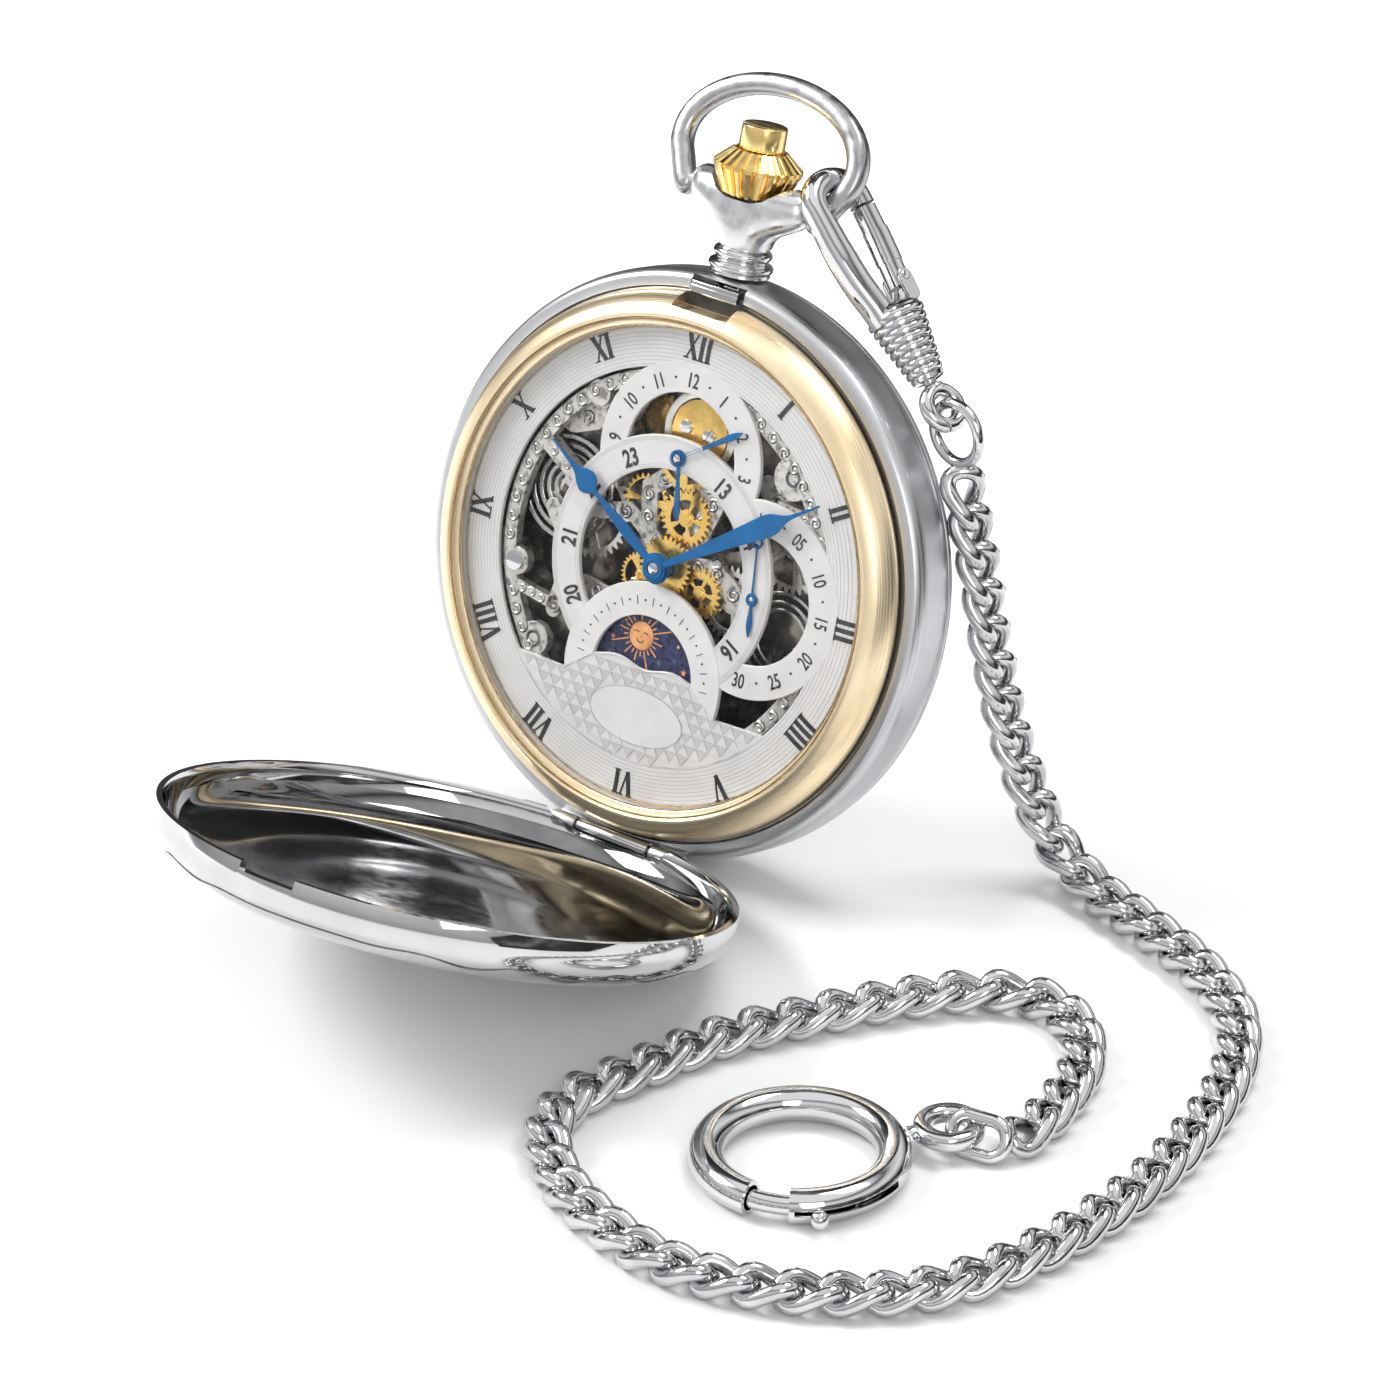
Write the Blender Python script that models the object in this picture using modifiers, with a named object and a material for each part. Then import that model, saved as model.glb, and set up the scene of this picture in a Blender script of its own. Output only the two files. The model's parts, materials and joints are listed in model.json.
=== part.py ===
"""Hunter-case pocket watch with a skeleton movement, a swivel clasp, a curb chain and a spring ring.

The watch stands open on its back rim and on its front cover, leaning back, and the chain lies on
the ground beside it. Lengths in this file are millimetres; MM turns them into metres.

The case frame has x towards III, y towards XII and z out of the dial. Its origin is the centre of
the dial's printed face, just under the crystal. The ground is Z = 0 of the world.
"""

import math

import bmesh
import bpy
from mathutils import Matrix, Vector

MM = 0.001
TAU = 2 * math.pi

# --- how the watch stands ---------------------------------------------------------------------
LEAN = math.radians(16.4)
DIAL_CENTRE = Vector((0.0, 17.8, 27.204))
CENTRING = -0.715

# --- case ----------------------------------------------------------------------------------------
CASE_R = 26.5
SHOULDER_Z = -1.5
ROUND = 36
SEAM_Z = -6.5
BACK_Z = -11.0
CHAMBER_R = 22.0
BEZEL_IN_R = 22.35
BEZEL_OUT_R = 24.6
CRYSTAL_R = 22.05
CRYSTAL_Z = 0.95
GAP = 0.3

# --- front cover and its hinge -----------------------------------------------------------------
COVER_R = 25.7
COVER_RIM_Z = -1.35
HINGE_Y = -25.45
HINGE_Z = -0.45
HINGE_R = 0.75
HINGE_PIN_R = 0.35
HINGE_HALF = 7.0
COVER_KNUCKLE_HALF = 3.9
COVER_OPEN = math.radians(85.6)

# --- pendant, bow, crown -----------------------------------------------------------------------
HEAD_Z = -4.5
STEM_R = 0.7
PENDANT_FOOT_R = 1.5
STEM_TOP = 35.4
BOW_PIVOT = Vector((0.0, 33.6, HEAD_Z))
BOW_TILT = math.radians(20.0)
BOW_HALF_WIDTH = 9.2
BOW_HALF_HEIGHT = 6.0
BOW_CENTRE = 4.13
BOW_WIRE_R = 0.95
BOW_END_X = 7.3
BOW_PIN_R = 0.62
CROWN_BOTTOM = 33.75
CROWN_TOP = 37.8
CROWN_R = 3.95
CROWN_RECESS_R = 2.3
BUTTON_R = 2.05
FLUTES = 24

# --- dial, hands and movement ------------------------------------------------------------------
DIAL_R = 22.2
DIAL_Z = -0.35
DIAL_THICK = 0.4
NUMERAL_RING_R = 17.75
HOUR24_RING = (8.8, 11.8)
ZONE_CENTRE = (0.0, 10.05)
ZONE_RING = (5.8, 8.6)
SECONDS_CENTRE = (10.1, 0.0)
SECONDS_RING = (5.85, 8.9)
SKY_CENTRE = (0.0, -10.0)
SKY_APERTURE_R = 5.4
SKY_ARCH_R = 8.4
FIELD_TOP = -11.6
PLATE_R = 19.1
PLATE_Z = (-3.1, -1.9)
BRIDGE_Z = (-7.1, -6.1)
HAND_THICK = 0.12
HOUR_ANGLE = math.radians(-58.0)
MINUTE_ANGLE = math.radians(56.9)
ZONE_HOUR_ANGLE = math.radians(170.0)
ZONE_MINUTE_ANGLE = math.radians(57.0)
SECONDS_ANGLE = math.radians(-4.7)

# --- clasp, swivel and jump ring ---------------------------------------------------------------
CLASP_POINT = math.radians(-25.0)
CLASP_AXIS = Vector((0.678, -0.7325, -0.06))
CLASP_TWIST = math.radians(17.0)
HOOK_R = 2.5
HOOK_WIRE_R = 0.95
BARREL_TOP = -10.3
BARREL_END = -17.6
JUMP_RING_R = 2.7
JUMP_RING_WIRE_R = 0.5
EYE_DROP = 20.2
GATE_AT = (2.05, 0.0, -8.3)

# --- chain and spring ring ---------------------------------------------------------------------
CHAIN_R = 1.45
CHAIN_POINTS = 48
SPRING_RING_CENTRE = Vector((42.9, -19.6, 1.55))
SPRING_RING_R = 7.9
SPRING_TUBE_R = 1.5
SPRING_BORE_R = 0.95
RING_GAP = (math.radians(-85.0), math.radians(-60.0))
EYELET_ANGLE = math.radians(52.5)
EYELET_DISTANCE = 12.95
EYELET_R = 2.3
EYELET_WIRE_R = 0.7

MATERIALS = {
    "silver": ((0.82, 0.83, 0.85), 0.12, 1.0),
    "satin_silver": ((0.66, 0.67, 0.69), 0.32, 1.0),
    "gold": ((0.90, 0.66, 0.30), 0.15, 1.0),
    "brass": ((0.83, 0.60, 0.22), 0.25, 1.0),
    "silvered_dial": ((0.90, 0.89, 0.88), 0.45, 0.3),
    "engraved_steel": ((0.72, 0.71, 0.68), 0.28, 1.0),
    "dark_steel": ((0.22, 0.22, 0.23), 0.30, 1.0),
    "blued_steel": ((0.00, 0.12, 0.32), 0.22, 0.9),
    "navy_enamel": ((0.03, 0.04, 0.12), 0.30, 0.0),
    "crystal": ((0.95, 0.97, 1.0), 0.02, 0.0),
}


def clear_scene():
    for obj in list(bpy.data.objects):
        bpy.data.objects.remove(obj, do_unlink=True)


def new_collection(name):
    collection = bpy.data.collections.new(name)
    bpy.context.scene.collection.children.link(collection)
    return collection


def make_material(name):
    colour, roughness, metallic = MATERIALS[name]
    material = bpy.data.materials.new(name)
    material.use_nodes = True
    shader = material.node_tree.nodes["Principled BSDF"]
    shader.inputs["Base Color"].default_value = (*colour, 1.0)
    shader.inputs["Roughness"].default_value = roughness
    shader.inputs["Metallic"].default_value = metallic
    return material


# --- helpers: every one takes millimetres in the frame of the parent it is given ---------------
def add_object(name, data, parent, material=None, collection=None):
    obj = bpy.data.objects.new(name, data)
    (collection or PARTS).objects.link(obj)
    obj.parent = parent
    if material:
        obj.data.materials.append(LOOK[material])
    return obj


def add_empty(name, parent, place, rotation=None):
    empty = bpy.data.objects.new(name, None)
    GUIDES.objects.link(empty)
    empty.parent = parent
    empty.empty_display_size = 0.003
    empty.location = Vector(place) * MM
    if rotation:
        empty.rotation_mode = "QUATERNION"
        empty.rotation_quaternion = rotation.to_quaternion()
    return empty


def axes(x, z):
    """The rotation whose X and Z columns are the unit vectors along x and z."""
    z = Vector(z).normalized()
    x = (Vector(x) - Vector(x).dot(z) * z).normalized()
    return Matrix((x, z.cross(x), z)).transposed()


UPRIGHT = Matrix.Identity(3)
ALONG_Y = Matrix.Rotation(-math.pi / 2, 3, "X")
ALONG_X = Matrix.Rotation(math.pi / 2, 3, "Y")
OFF_GRID = Matrix.Rotation(0.11, 3, "Z")


def turned_mesh(profile, steps, rotation, place, name):
    """A body of revolution: profile is (radius, height), closed unless both ends are on the axis."""
    area = sum(a[0] * b[1] - b[0] * a[1] for a, b in zip(profile, profile[1:] + profile[:1]))
    points = profile if area < 0 else profile[::-1]
    on_axis = points[0][0] == 0 and points[-1][0] == 0
    if not on_axis and (0 in (points[0][0], points[-1][0])):
        raise ValueError(f"{name}: an open profile must end on the axis twice")
    mesh = bpy.data.meshes.new(name)
    edges = [(i, i + 1) for i in range(len(points) - 1)]
    if not on_axis:
        edges.append((len(points) - 1, 0))
    mesh.from_pydata([(r * MM, 0, h * MM) for r, h in points], edges, [])
    holder = bpy.data.objects.new(name + "_profile", mesh)
    bpy.context.scene.collection.objects.link(holder)
    screw = holder.modifiers.new("turn", "SCREW")
    screw.angle = TAU
    screw.steps = steps
    screw.render_steps = steps
    screw.use_merge_vertices = True
    screw.merge_threshold = 0.000001
    return evaluated_mesh(holder, rotation, place, name)


def evaluated_mesh(holder, rotation, place, name):
    """The mesh that an object's modifiers or curve make, welded and moved; the object is removed."""
    bpy.context.view_layer.update()
    depsgraph = bpy.context.evaluated_depsgraph_get()
    mesh = bpy.data.meshes.new_from_object(holder.evaluated_get(depsgraph))
    mesh.name = name
    bpy.data.objects.remove(holder, do_unlink=True)
    work = bmesh.new()
    work.from_mesh(mesh)
    bmesh.ops.remove_doubles(work, verts=work.verts, dist=0.000001)
    bmesh.ops.recalc_face_normals(work, faces=work.faces)
    work.transform(Matrix.Translation(Vector(place) * MM) @ rotation.to_4x4())
    if work.calc_volume(signed=True) < 0:
        bmesh.ops.reverse_faces(work, faces=work.faces)
    work.to_mesh(mesh)
    work.free()
    return mesh


def finish_solid(obj, sharp=35):
    obj.data.shade_smooth()
    obj.data.set_sharp_from_angle(angle=math.radians(sharp))
    return obj


def turned(name, profile, parent, material, steps=64, rotation=UPRIGHT, place=(0, 0, 0)):
    mesh = turned_mesh(profile, steps, rotation, place, name)
    return finish_solid(add_object(name, mesh, parent, material))


def wire_mesh(points, radius, name, cyclic=False, sides=2):
    curve = bpy.data.curves.new(name, "CURVE")
    curve.dimensions = "3D"
    curve.bevel_depth = radius * MM
    curve.bevel_resolution = sides
    curve.use_fill_caps = not cyclic
    spline = curve.splines.new("POLY")
    spline.points.add(len(points) - 1)
    for target, point in zip(spline.points, points):
        target.co = (*(Vector(point) * MM), 1)
    spline.use_cyclic_u = cyclic
    holder = bpy.data.objects.new(name + "_path", curve)
    bpy.context.scene.collection.objects.link(holder)
    return evaluated_mesh(holder, UPRIGHT, (0, 0, 0), name)


def wire(name, points, radius, parent, material, cyclic=False, sides=2):
    mesh = wire_mesh(points, radius, name, cyclic, sides)
    return finish_solid(add_object(name, mesh, parent, material))


def plate_mesh(loops, low, high, name, rotation=UPRIGHT, place=(0, 0, 0)):
    """A flat outline, with its holes as further loops, from height low to height high."""
    curve = bpy.data.curves.new(name, "CURVE")
    curve.dimensions = "2D"
    curve.fill_mode = "BOTH"
    curve.extrude = (high - low) / 2 * MM
    for loop in loops:
        spline = curve.splines.new("POLY")
        spline.points.add(len(loop) - 1)
        for target, (x, y) in zip(spline.points, loop):
            target.co = (x * MM, y * MM, 0, 1)
        spline.use_cyclic_u = True
    holder = bpy.data.objects.new(name + "_outline", curve)
    bpy.context.scene.collection.objects.link(holder)
    middle = rotation @ Vector((0, 0, (high + low) / 2))
    return evaluated_mesh(holder, rotation, Vector(place) + middle, name)


def plate(name, loops, low, high, parent, material, rotation=UPRIGHT, place=(0, 0, 0)):
    mesh = plate_mesh(loops, low, high, name, rotation, place)
    return finish_solid(add_object(name, mesh, parent, material))


def box_mesh(low, high, name):
    mesh = bpy.data.meshes.new(name)
    work = bmesh.new()
    bmesh.ops.create_cube(work, size=1.0)
    middle = (Vector(low) + Vector(high)) / 2 * MM
    size = (Vector(high) - Vector(low)) * MM
    work.transform(Matrix.Translation(middle) @ Matrix.Diagonal((*size, 1)))
    work.to_mesh(mesh)
    work.free()
    return mesh


def rod_profile(radius, low, high):
    return [(0, high), (radius, high), (radius, low), (0, low)]


def tube_profile(inner, outer, low, high):
    return [(outer, high), (outer, low), (inner, low), (inner, high)]


def rod_mesh(radius, low, high, name, steps=20, rotation=UPRIGHT, place=(0, 0, 0)):
    # turned a little, so that no corner of the rod falls on an edge of the piece it meets
    return turned_mesh(rod_profile(radius, low, high), steps, rotation @ OFF_GRID, place, name)


def add_cutter(name, mesh, parent):
    tool = add_object(name, mesh, parent, None, CUTTERS)
    tool.hide_render = True
    tool.display_type = "WIRE"
    return tool


def combine_with(obj, tool, operation):
    boolean = obj.modifiers.new(operation.lower(), "BOOLEAN")
    boolean.operation = operation
    boolean.solver = "EXACT"
    boolean.object = tool


def combine(obj, meshes, operation):
    """Joins or cuts the object with each mesh, as an applied EXACT Boolean."""
    for index, mesh in enumerate(meshes):
        tool = add_cutter(f"{obj.name}_{operation.lower()}_{index}", mesh, obj.parent)
        combine_with(obj, tool, operation)
    return obj


def cut(obj, *meshes):
    return combine(obj, meshes, "DIFFERENCE")


def join(obj, *meshes):
    return combine(obj, meshes, "UNION")


def circle(radius, count=32, centre=(0, 0), phase=0.0):
    x, y = centre
    angles = [phase + TAU * i / count for i in range(count)]
    return [(x + radius * math.cos(a), y + radius * math.sin(a)) for a in angles]


def gear_outline(teeth, root, tip, lean=0.0):
    """Pointed teeth; lean above zero makes ratchet or escape teeth."""
    loop = []
    for tooth in range(teeth):
        for share, radius in ((0.0, root), (0.5 + lean, tip)):
            angle = TAU * (tooth + share) / teeth
            loop.append((radius * math.cos(angle), radius * math.sin(angle)))
    return loop


def ring_of_holes(count, distance, radius, sides=8, phase=0.3):
    spots = [phase + TAU * i / count for i in range(count)]
    return [circle(radius, sides, (distance * math.cos(a), distance * math.sin(a))) for a in spots]


def smooth_route(points, count):
    """count points, evenly spaced, on a Catmull-Rom curve through the given points."""
    points = [Vector(p) for p in points]
    padded = [2 * points[0] - points[1], *points, 2 * points[-1] - points[-2]]
    dense = []
    for a, b, c, d in zip(padded, padded[1:], padded[2:], padded[3:]):
        for step in range(24):
            t = step / 24
            linear = (c - a) * t
            square = (2 * a - 5 * b + 4 * c - d) * t * t
            cube = (3 * b - a - 3 * c + d) * t**3
            dense.append(b + (linear + square + cube) / 2)
    dense.append(points[-1])
    reach = [0.0]
    for before, after in zip(dense, dense[1:]):
        reach.append(reach[-1] + (after - before).length)
    route = []
    at = 0
    for step in range(count):
        wanted = reach[-1] * step / (count - 1)
        while at < len(dense) - 2 and reach[at + 1] < wanted:
            at += 1
        share = (wanted - reach[at]) / (reach[at + 1] - reach[at])
        route.append(dense[at].lerp(dense[at + 1], min(share, 1.0)))
    return route


# --- case ----------------------------------------------------------------------------------------
def make_case_middle(case):
    profile = [
        (24.9, SHOULDER_Z), (25.9, SHOULDER_Z), (26.25, -1.85), (CASE_R, -2.7), (CASE_R, -5.2),
        (26.3, SEAM_Z), (CHAMBER_R, SEAM_Z), (CHAMBER_R, -1.75), (24.9, -1.75),
    ]
    body = turned("case_middle", profile, case, "silver", steps=ROUND)
    bore = rod_mesh(PENDANT_FOOT_R + GAP, 20.0, 28.0, "pendant_bore", 20, ALONG_Y, (0, 0, HEAD_Z))
    pocket = box_mesh((-2.9, 24.3, -3.2), (2.9, 26.05, -1.0), "catch_pocket")
    cut(body, bore, pocket)
    for side in (-1, 1):
        inner, outer = sorted((side * (COVER_KNUCKLE_HALF + GAP), side * HINGE_HALF))
        block = box_mesh((inner, -26.0, -2.0), (outer, -25.0, HINGE_Z), f"knuckle_root{side}")
        knuckle = rod_mesh(HINGE_R, inner, outer, f"knuckle{side}", 20, ALONG_X, (0, HINGE_Y, HINGE_Z))
        join(body, block, knuckle)
    pin_bore = rod_mesh(HINGE_PIN_R + 0.06, -9.0, 9.0, "pin_bore", 16, ALONG_X, (0, HINGE_Y, HINGE_Z))
    cut(body, pin_bore)
    return body


def make_bezel(case):
    profile = [
        (BEZEL_IN_R, 1.3), (22.9, 1.3), (23.6, 0.85), (24.25, -0.05), (24.55, -0.75), (BEZEL_OUT_R, -1.1),
        (24.45, -1.45), (22.5, -1.45), (22.5, -0.05), (21.5, -0.05), (21.5, 0.65), (BEZEL_IN_R, 0.65),
    ]
    bezel = turned("bezel", profile, case, "gold", steps=ROUND)
    return cut(bezel, box_mesh((-3.1, 23.8, -1.7), (3.1, 25.2, 0.2), "catch_slot"))


def make_crystal(case):
    profile = [(0, 1.95), (12, 1.87), (21.0, 1.6), (CRYSTAL_R, 1.25), (CRYSTAL_R, CRYSTAL_Z), (0, CRYSTAL_Z)]
    return turned("crystal", profile, case, "crystal", steps=ROUND)


def make_back_cover(case):
    """A shallow dish; its profile runs from the inner pole round the rim to the outer pole."""
    profile = [
        (0, -10.4), (10.0, -10.2), (18.0, -9.6), (23.6, -8.6), (25.2, -7.4), (25.25, -6.8), (26.15, -6.8),
        (26.1, -7.3), (25.4, -8.35), (23.0, -9.4), (17.0, -10.35), (10.0, -10.85), (3.0, BACK_Z), (0, BACK_Z),
    ]
    return turned("back_cover", profile, case, "satin_silver", steps=ROUND)


def make_front_cover(frame):
    """Modelled closed over the dial; the empty it hangs on swings it open."""
    at = Vector((0, -HINGE_Y, -HINGE_Z))
    outer = [
        (COVER_R, COVER_RIM_Z), (25.85, 0.1), (25.3, 1.6), (23.6, 3.1), (19.0, 4.4), (10.0, 5.3), (0, 5.6),
    ]
    inner = [(0, 4.9), (10.0, 4.6), (19.0, 3.65), (23.4, 2.2), (24.75, 0.9), (24.9, COVER_RIM_Z)]
    cover = turned("front_cover", inner + outer, frame, "silver", steps=ROUND, place=at)
    relief = rod_mesh(HINGE_R + GAP, -HINGE_HALF - GAP, HINGE_HALF + GAP, "hinge_relief", 20, ALONG_X)
    mouth = box_mesh((-HINGE_HALF - GAP, -1.6, -1.5), (HINGE_HALF + GAP, 1.3, 0.0), "hinge_mouth")
    notch = box_mesh((-2.9, 49.6, -1.5), (2.9, 52.0, -0.1), "catch_notch")
    cut(cover, relief, mouth, notch)
    half = COVER_KNUCKLE_HALF
    web = box_mesh((-half, -0.45, 0.2), (half, 0.35, 1.6), "cover_web")
    knuckle = rod_mesh(HINGE_R, -half, half, "cover_knuckle", 20, ALONG_X)
    join(cover, web, knuckle)
    return cut(cover, rod_mesh(HINGE_PIN_R + 0.06, -9.0, 9.0, "cover_pin_bore", 16, ALONG_X))


def make_hinge_pin(case):
    half = HINGE_HALF - 0.1
    profile = rod_profile(HINGE_PIN_R, -half, half)
    return turned("hinge_pin", profile, case, "satin_silver", 12, ALONG_X, (0, HINGE_Y, HINGE_Z))


def make_catch(frame):
    tongue = box_mesh((-2.5, -0.35, -1.2), (2.5, 0.35, 0.25), "cover_catch")
    nose = box_mesh((-2.5, -0.75, 0.0), (2.5, 0.0, 0.3), "catch_nose")
    return join(add_object("cover_catch", tongue, frame, "satin_silver"), nose)


def arc_band(inner, outer, start, end, count=14):
    angles = [start + (end - start) * i / count for i in range(count + 1)]
    out = [(outer * math.cos(a), outer * math.sin(a)) for a in angles]
    back = [(inner * math.cos(a), inner * math.sin(a)) for a in reversed(angles)]
    return out + back


def make_case_springs(case):
    lift = arc_band(21.2, 21.6, math.radians(200), math.radians(262))
    lock = arc_band(21.2, 21.6, math.radians(25), math.radians(80))
    plate("lift_spring", [lift], -5.0, -3.4, case, "dark_steel")
    plate("lock_spring", [lock], -5.0, -3.4, case, "dark_steel")


# --- pendant, bow, crown -----------------------------------------------------------------------
def make_pendant(case):
    profile = [
        (0, 22.7), (PENDANT_FOOT_R, 22.7), (PENDANT_FOOT_R, 26.8), (3.0, 26.8), (2.9, 27.3), (2.3, 27.9),
        (2.65, 28.6), (2.3, 29.2), (2.4, 30.5), (0, 30.5),
    ]
    neck = turned_mesh(profile, 20, ALONG_Y, (0, 0, HEAD_Z), "neck")
    right = [
        (2.3, 29.6), (2.9, 30.5), (4.1, 31.6), (5.6, 32.4), (6.0, 33.2), (6.0, 34.0), (5.6, 34.7),
        (4.95, 35.15), (4.75, 34.9), (4.1, 33.7), (2.6, 33.45),
    ]
    outline = right + [(-x, y) for x, y in reversed(right)]
    yoke = plate("pendant", [outline], HEAD_Z - 2.5, HEAD_Z + 2.5, case, "silver")
    soften = yoke.modifiers.new("soften", "BEVEL")
    soften.width = 0.6 * MM
    soften.segments = 2
    soften.limit_method = "ANGLE"
    soften.angle_limit = math.radians(50)
    join(yoke, neck)
    cut(yoke, rod_mesh(1.05, 20.0, 36.0, "stem_bore", 20, ALONG_Y, (0, 0, HEAD_Z)))
    for side in (-1, 1):
        low, high = sorted((side * 5.0, side * 8.0))
        bore = rod_mesh(BOW_PIN_R + 0.08, low, high, f"bow_bore{side}", 16, ALONG_X, BOW_PIVOT)
        cut(yoke, bore)
    return yoke


def bow_points():
    """The bow's centre line above its pivot: an ellipse closed in to the two pivots."""
    points = [(BOW_END_X, 0.0), (7.75, 0.75)]
    first = CLASP_POINT
    for i in range(21):
        angle = first + (math.pi - 2 * first) * i / 20
        points.append((BOW_HALF_WIDTH * math.cos(angle), BOW_CENTRE + BOW_HALF_HEIGHT * math.sin(angle)))
    points += [(-7.75, 0.75), (-BOW_END_X, 0.0)]
    return points


def make_bow(frame):
    bow = wire("bow", [(x, y, 0) for x, y in bow_points()], BOW_WIRE_R, frame, "silver")
    for side in (-1, 1):
        low, high = sorted((side * 5.3, side * 7.5))
        join(bow, rod_mesh(BOW_PIN_R, low, high, f"bow_pin{side}", 16, ALONG_X))
    return bow


def make_stem_and_crown(stem_frame, crown_frame, button_frame):
    stem = [
        (0, STEM_TOP), (STEM_R, STEM_TOP), (STEM_R, 18.0), (1.3, 17.8), (1.3, 16.2), (STEM_R, 16.0),
        (STEM_R, 15.0), (0, 15.0),
    ]
    turned("winding_stem", stem, stem_frame, "dark_steel", 20, ALONG_Y)
    body = [
        (CROWN_RECESS_R, CROWN_TOP), (2.6, CROWN_TOP), (CROWN_R, 36.3), (2.85, CROWN_BOTTOM),
        (0.78, CROWN_BOTTOM), (0.78, 35.9), (0.98, 35.9), (0.98, 37.0), (CROWN_RECESS_R, 37.0),
    ]
    crown = turned("crown", body, crown_frame, "gold", 24, ALONG_Y)
    outline = gear_outline(FLUTES, 3.6, 4.05)
    flutes = plate_mesh([outline], CROWN_BOTTOM - 1, CROWN_TOP + 1, "flutes", ALONG_Y)
    combine(crown, [flutes], "INTERSECT")
    button = [
        (0, 40.1), (BUTTON_R - 0.2, 40.1), (BUTTON_R, 39.9), (BUTTON_R, 37.85), (0.9, 37.85), (0.9, 36.8),
        (0, 36.8),
    ]
    turned("release_button", button, button_frame, "gold", 32, ALONG_Y)


# --- dial and hands ------------------------------------------------------------------------------
def make_dial(case):
    top = DIAL_Z
    dial = turned("dial", rod_profile(DIAL_R, top - DIAL_THICK, top), case, "silvered_dial", steps=ROUND)
    openings = turned_mesh(rod_profile(NUMERAL_RING_R, -2.0, 1.0), ROUND, UPRIGHT, (0, 0, 0), "openings")
    tool = add_cutter("dial_openings", openings, case)
    bars = [
        (tube_profile(*HOUR24_RING, -2.2, 1.2), (0, 0)),
        (tube_profile(*ZONE_RING, -2.4, 1.4), ZONE_CENTRE),
        (tube_profile(*SECONDS_RING, -2.6, 1.6), SECONDS_CENTRE),
        (rod_profile(SKY_ARCH_R, -2.8, 1.8), SKY_CENTRE),
    ]
    for index, (profile, centre) in enumerate(bars):
        cut(tool, turned_mesh(profile, 20, OFF_GRID, (*centre, 0), f"dial_bar{index}"))
    cut(tool, box_mesh((-20, -20, -3.0), (20, FIELD_TOP, 2.0), "lower_field"))
    combine_with(dial, tool, "DIFFERENCE")
    combine_with(dial, centre_opening(case), "DIFFERENCE")
    combine_with(dial, sky_aperture(case), "DIFFERENCE")
    cut(dial, rod_mesh(0.55, -3, 3, "zone_hole", 16, UPRIGHT, (*ZONE_CENTRE, 0)))
    cut(dial, rod_mesh(0.45, -3, 3, "seconds_hole", 16, UPRIGHT, (*SECONDS_CENTRE, 0)))
    return dial


def centre_opening(case):
    """The opening inside the day ring, down to the arch over the sun."""
    profile = rod_profile(HOUR24_RING[0] + 0.1, -1.8, 0.8)
    tool = add_cutter("centre_opening", turned_mesh(profile, ROUND, UPRIGHT, (0, 0, 0), "centre"), case)
    return cut(tool, rod_mesh(SKY_ARCH_R - 0.05, -2.2, 1.2, "arch_guard", 32, UPRIGHT, (*SKY_CENTRE, 0)))


def cloud_edge(x):
    """The height of the clouds that the sun and moon set behind."""
    return SKY_CENTRE[1] + 0.75 + 0.3 * math.cos(TAU * x / 3.6)


def sky_aperture(case):
    rise = math.asin(0.95 / SKY_APERTURE_R)
    arc = [rise + (math.pi - 2 * rise) * i / 20 for i in range(21)]
    loop = [(SKY_APERTURE_R * math.cos(a), SKY_CENTRE[1] + SKY_APERTURE_R * math.sin(a)) for a in arc]
    loop += [(x * 0.5, cloud_edge(x * 0.5)) for x in range(-10, 11)]
    mesh = plate_mesh([loop], -1.6, 0.6, "sky_aperture")
    return add_cutter("sky_opening", mesh, case)


def hand_outline(stations, hub_r, count=14):
    """Half widths along +Y mirrored about the axis, and a round hub at the pivot."""
    start = math.asin(min(stations[0][1] / hub_r, 1.0))
    hub = [start + (TAU - 2 * start) * i / count for i in range(count + 1)]
    loop = [(hub_r * math.sin(a), hub_r * math.cos(a)) for a in hub]
    left = [(-w, y) for y, w in stations[1:-1]]
    right = [(w, y) for y, w in reversed(stations[1:-1])]
    return loop + left + [(0, stations[-1][0])] + right


def make_hand(name, stations, hub_r, low, frame, angle, pipe_r, pipe_low, cap=None, tail=None):
    """A blued hand with its pipe; angle is clockwise from XII."""
    turn = Matrix.Rotation(-angle, 3, "Z")
    outline = hand_outline(stations, hub_r)
    hand = plate(name, [outline], low, low + HAND_THICK, frame, "blued_steel", turn)
    join(hand, rod_mesh(pipe_r, pipe_low, low + HAND_THICK / 2, name + "_pipe", 16))
    if cap:
        join(hand, rod_mesh(cap[0], low + HAND_THICK / 2, cap[1], name + "_cap", 16))
    if tail:
        back = Matrix.Rotation(math.pi - angle, 3, "Z")
        outline = hand_outline(tail, hub_r * 0.9)
        join(hand, plate_mesh([outline], low + 0.02, low + HAND_THICK - 0.02, name + "_tail", back))
    return hand


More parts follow.
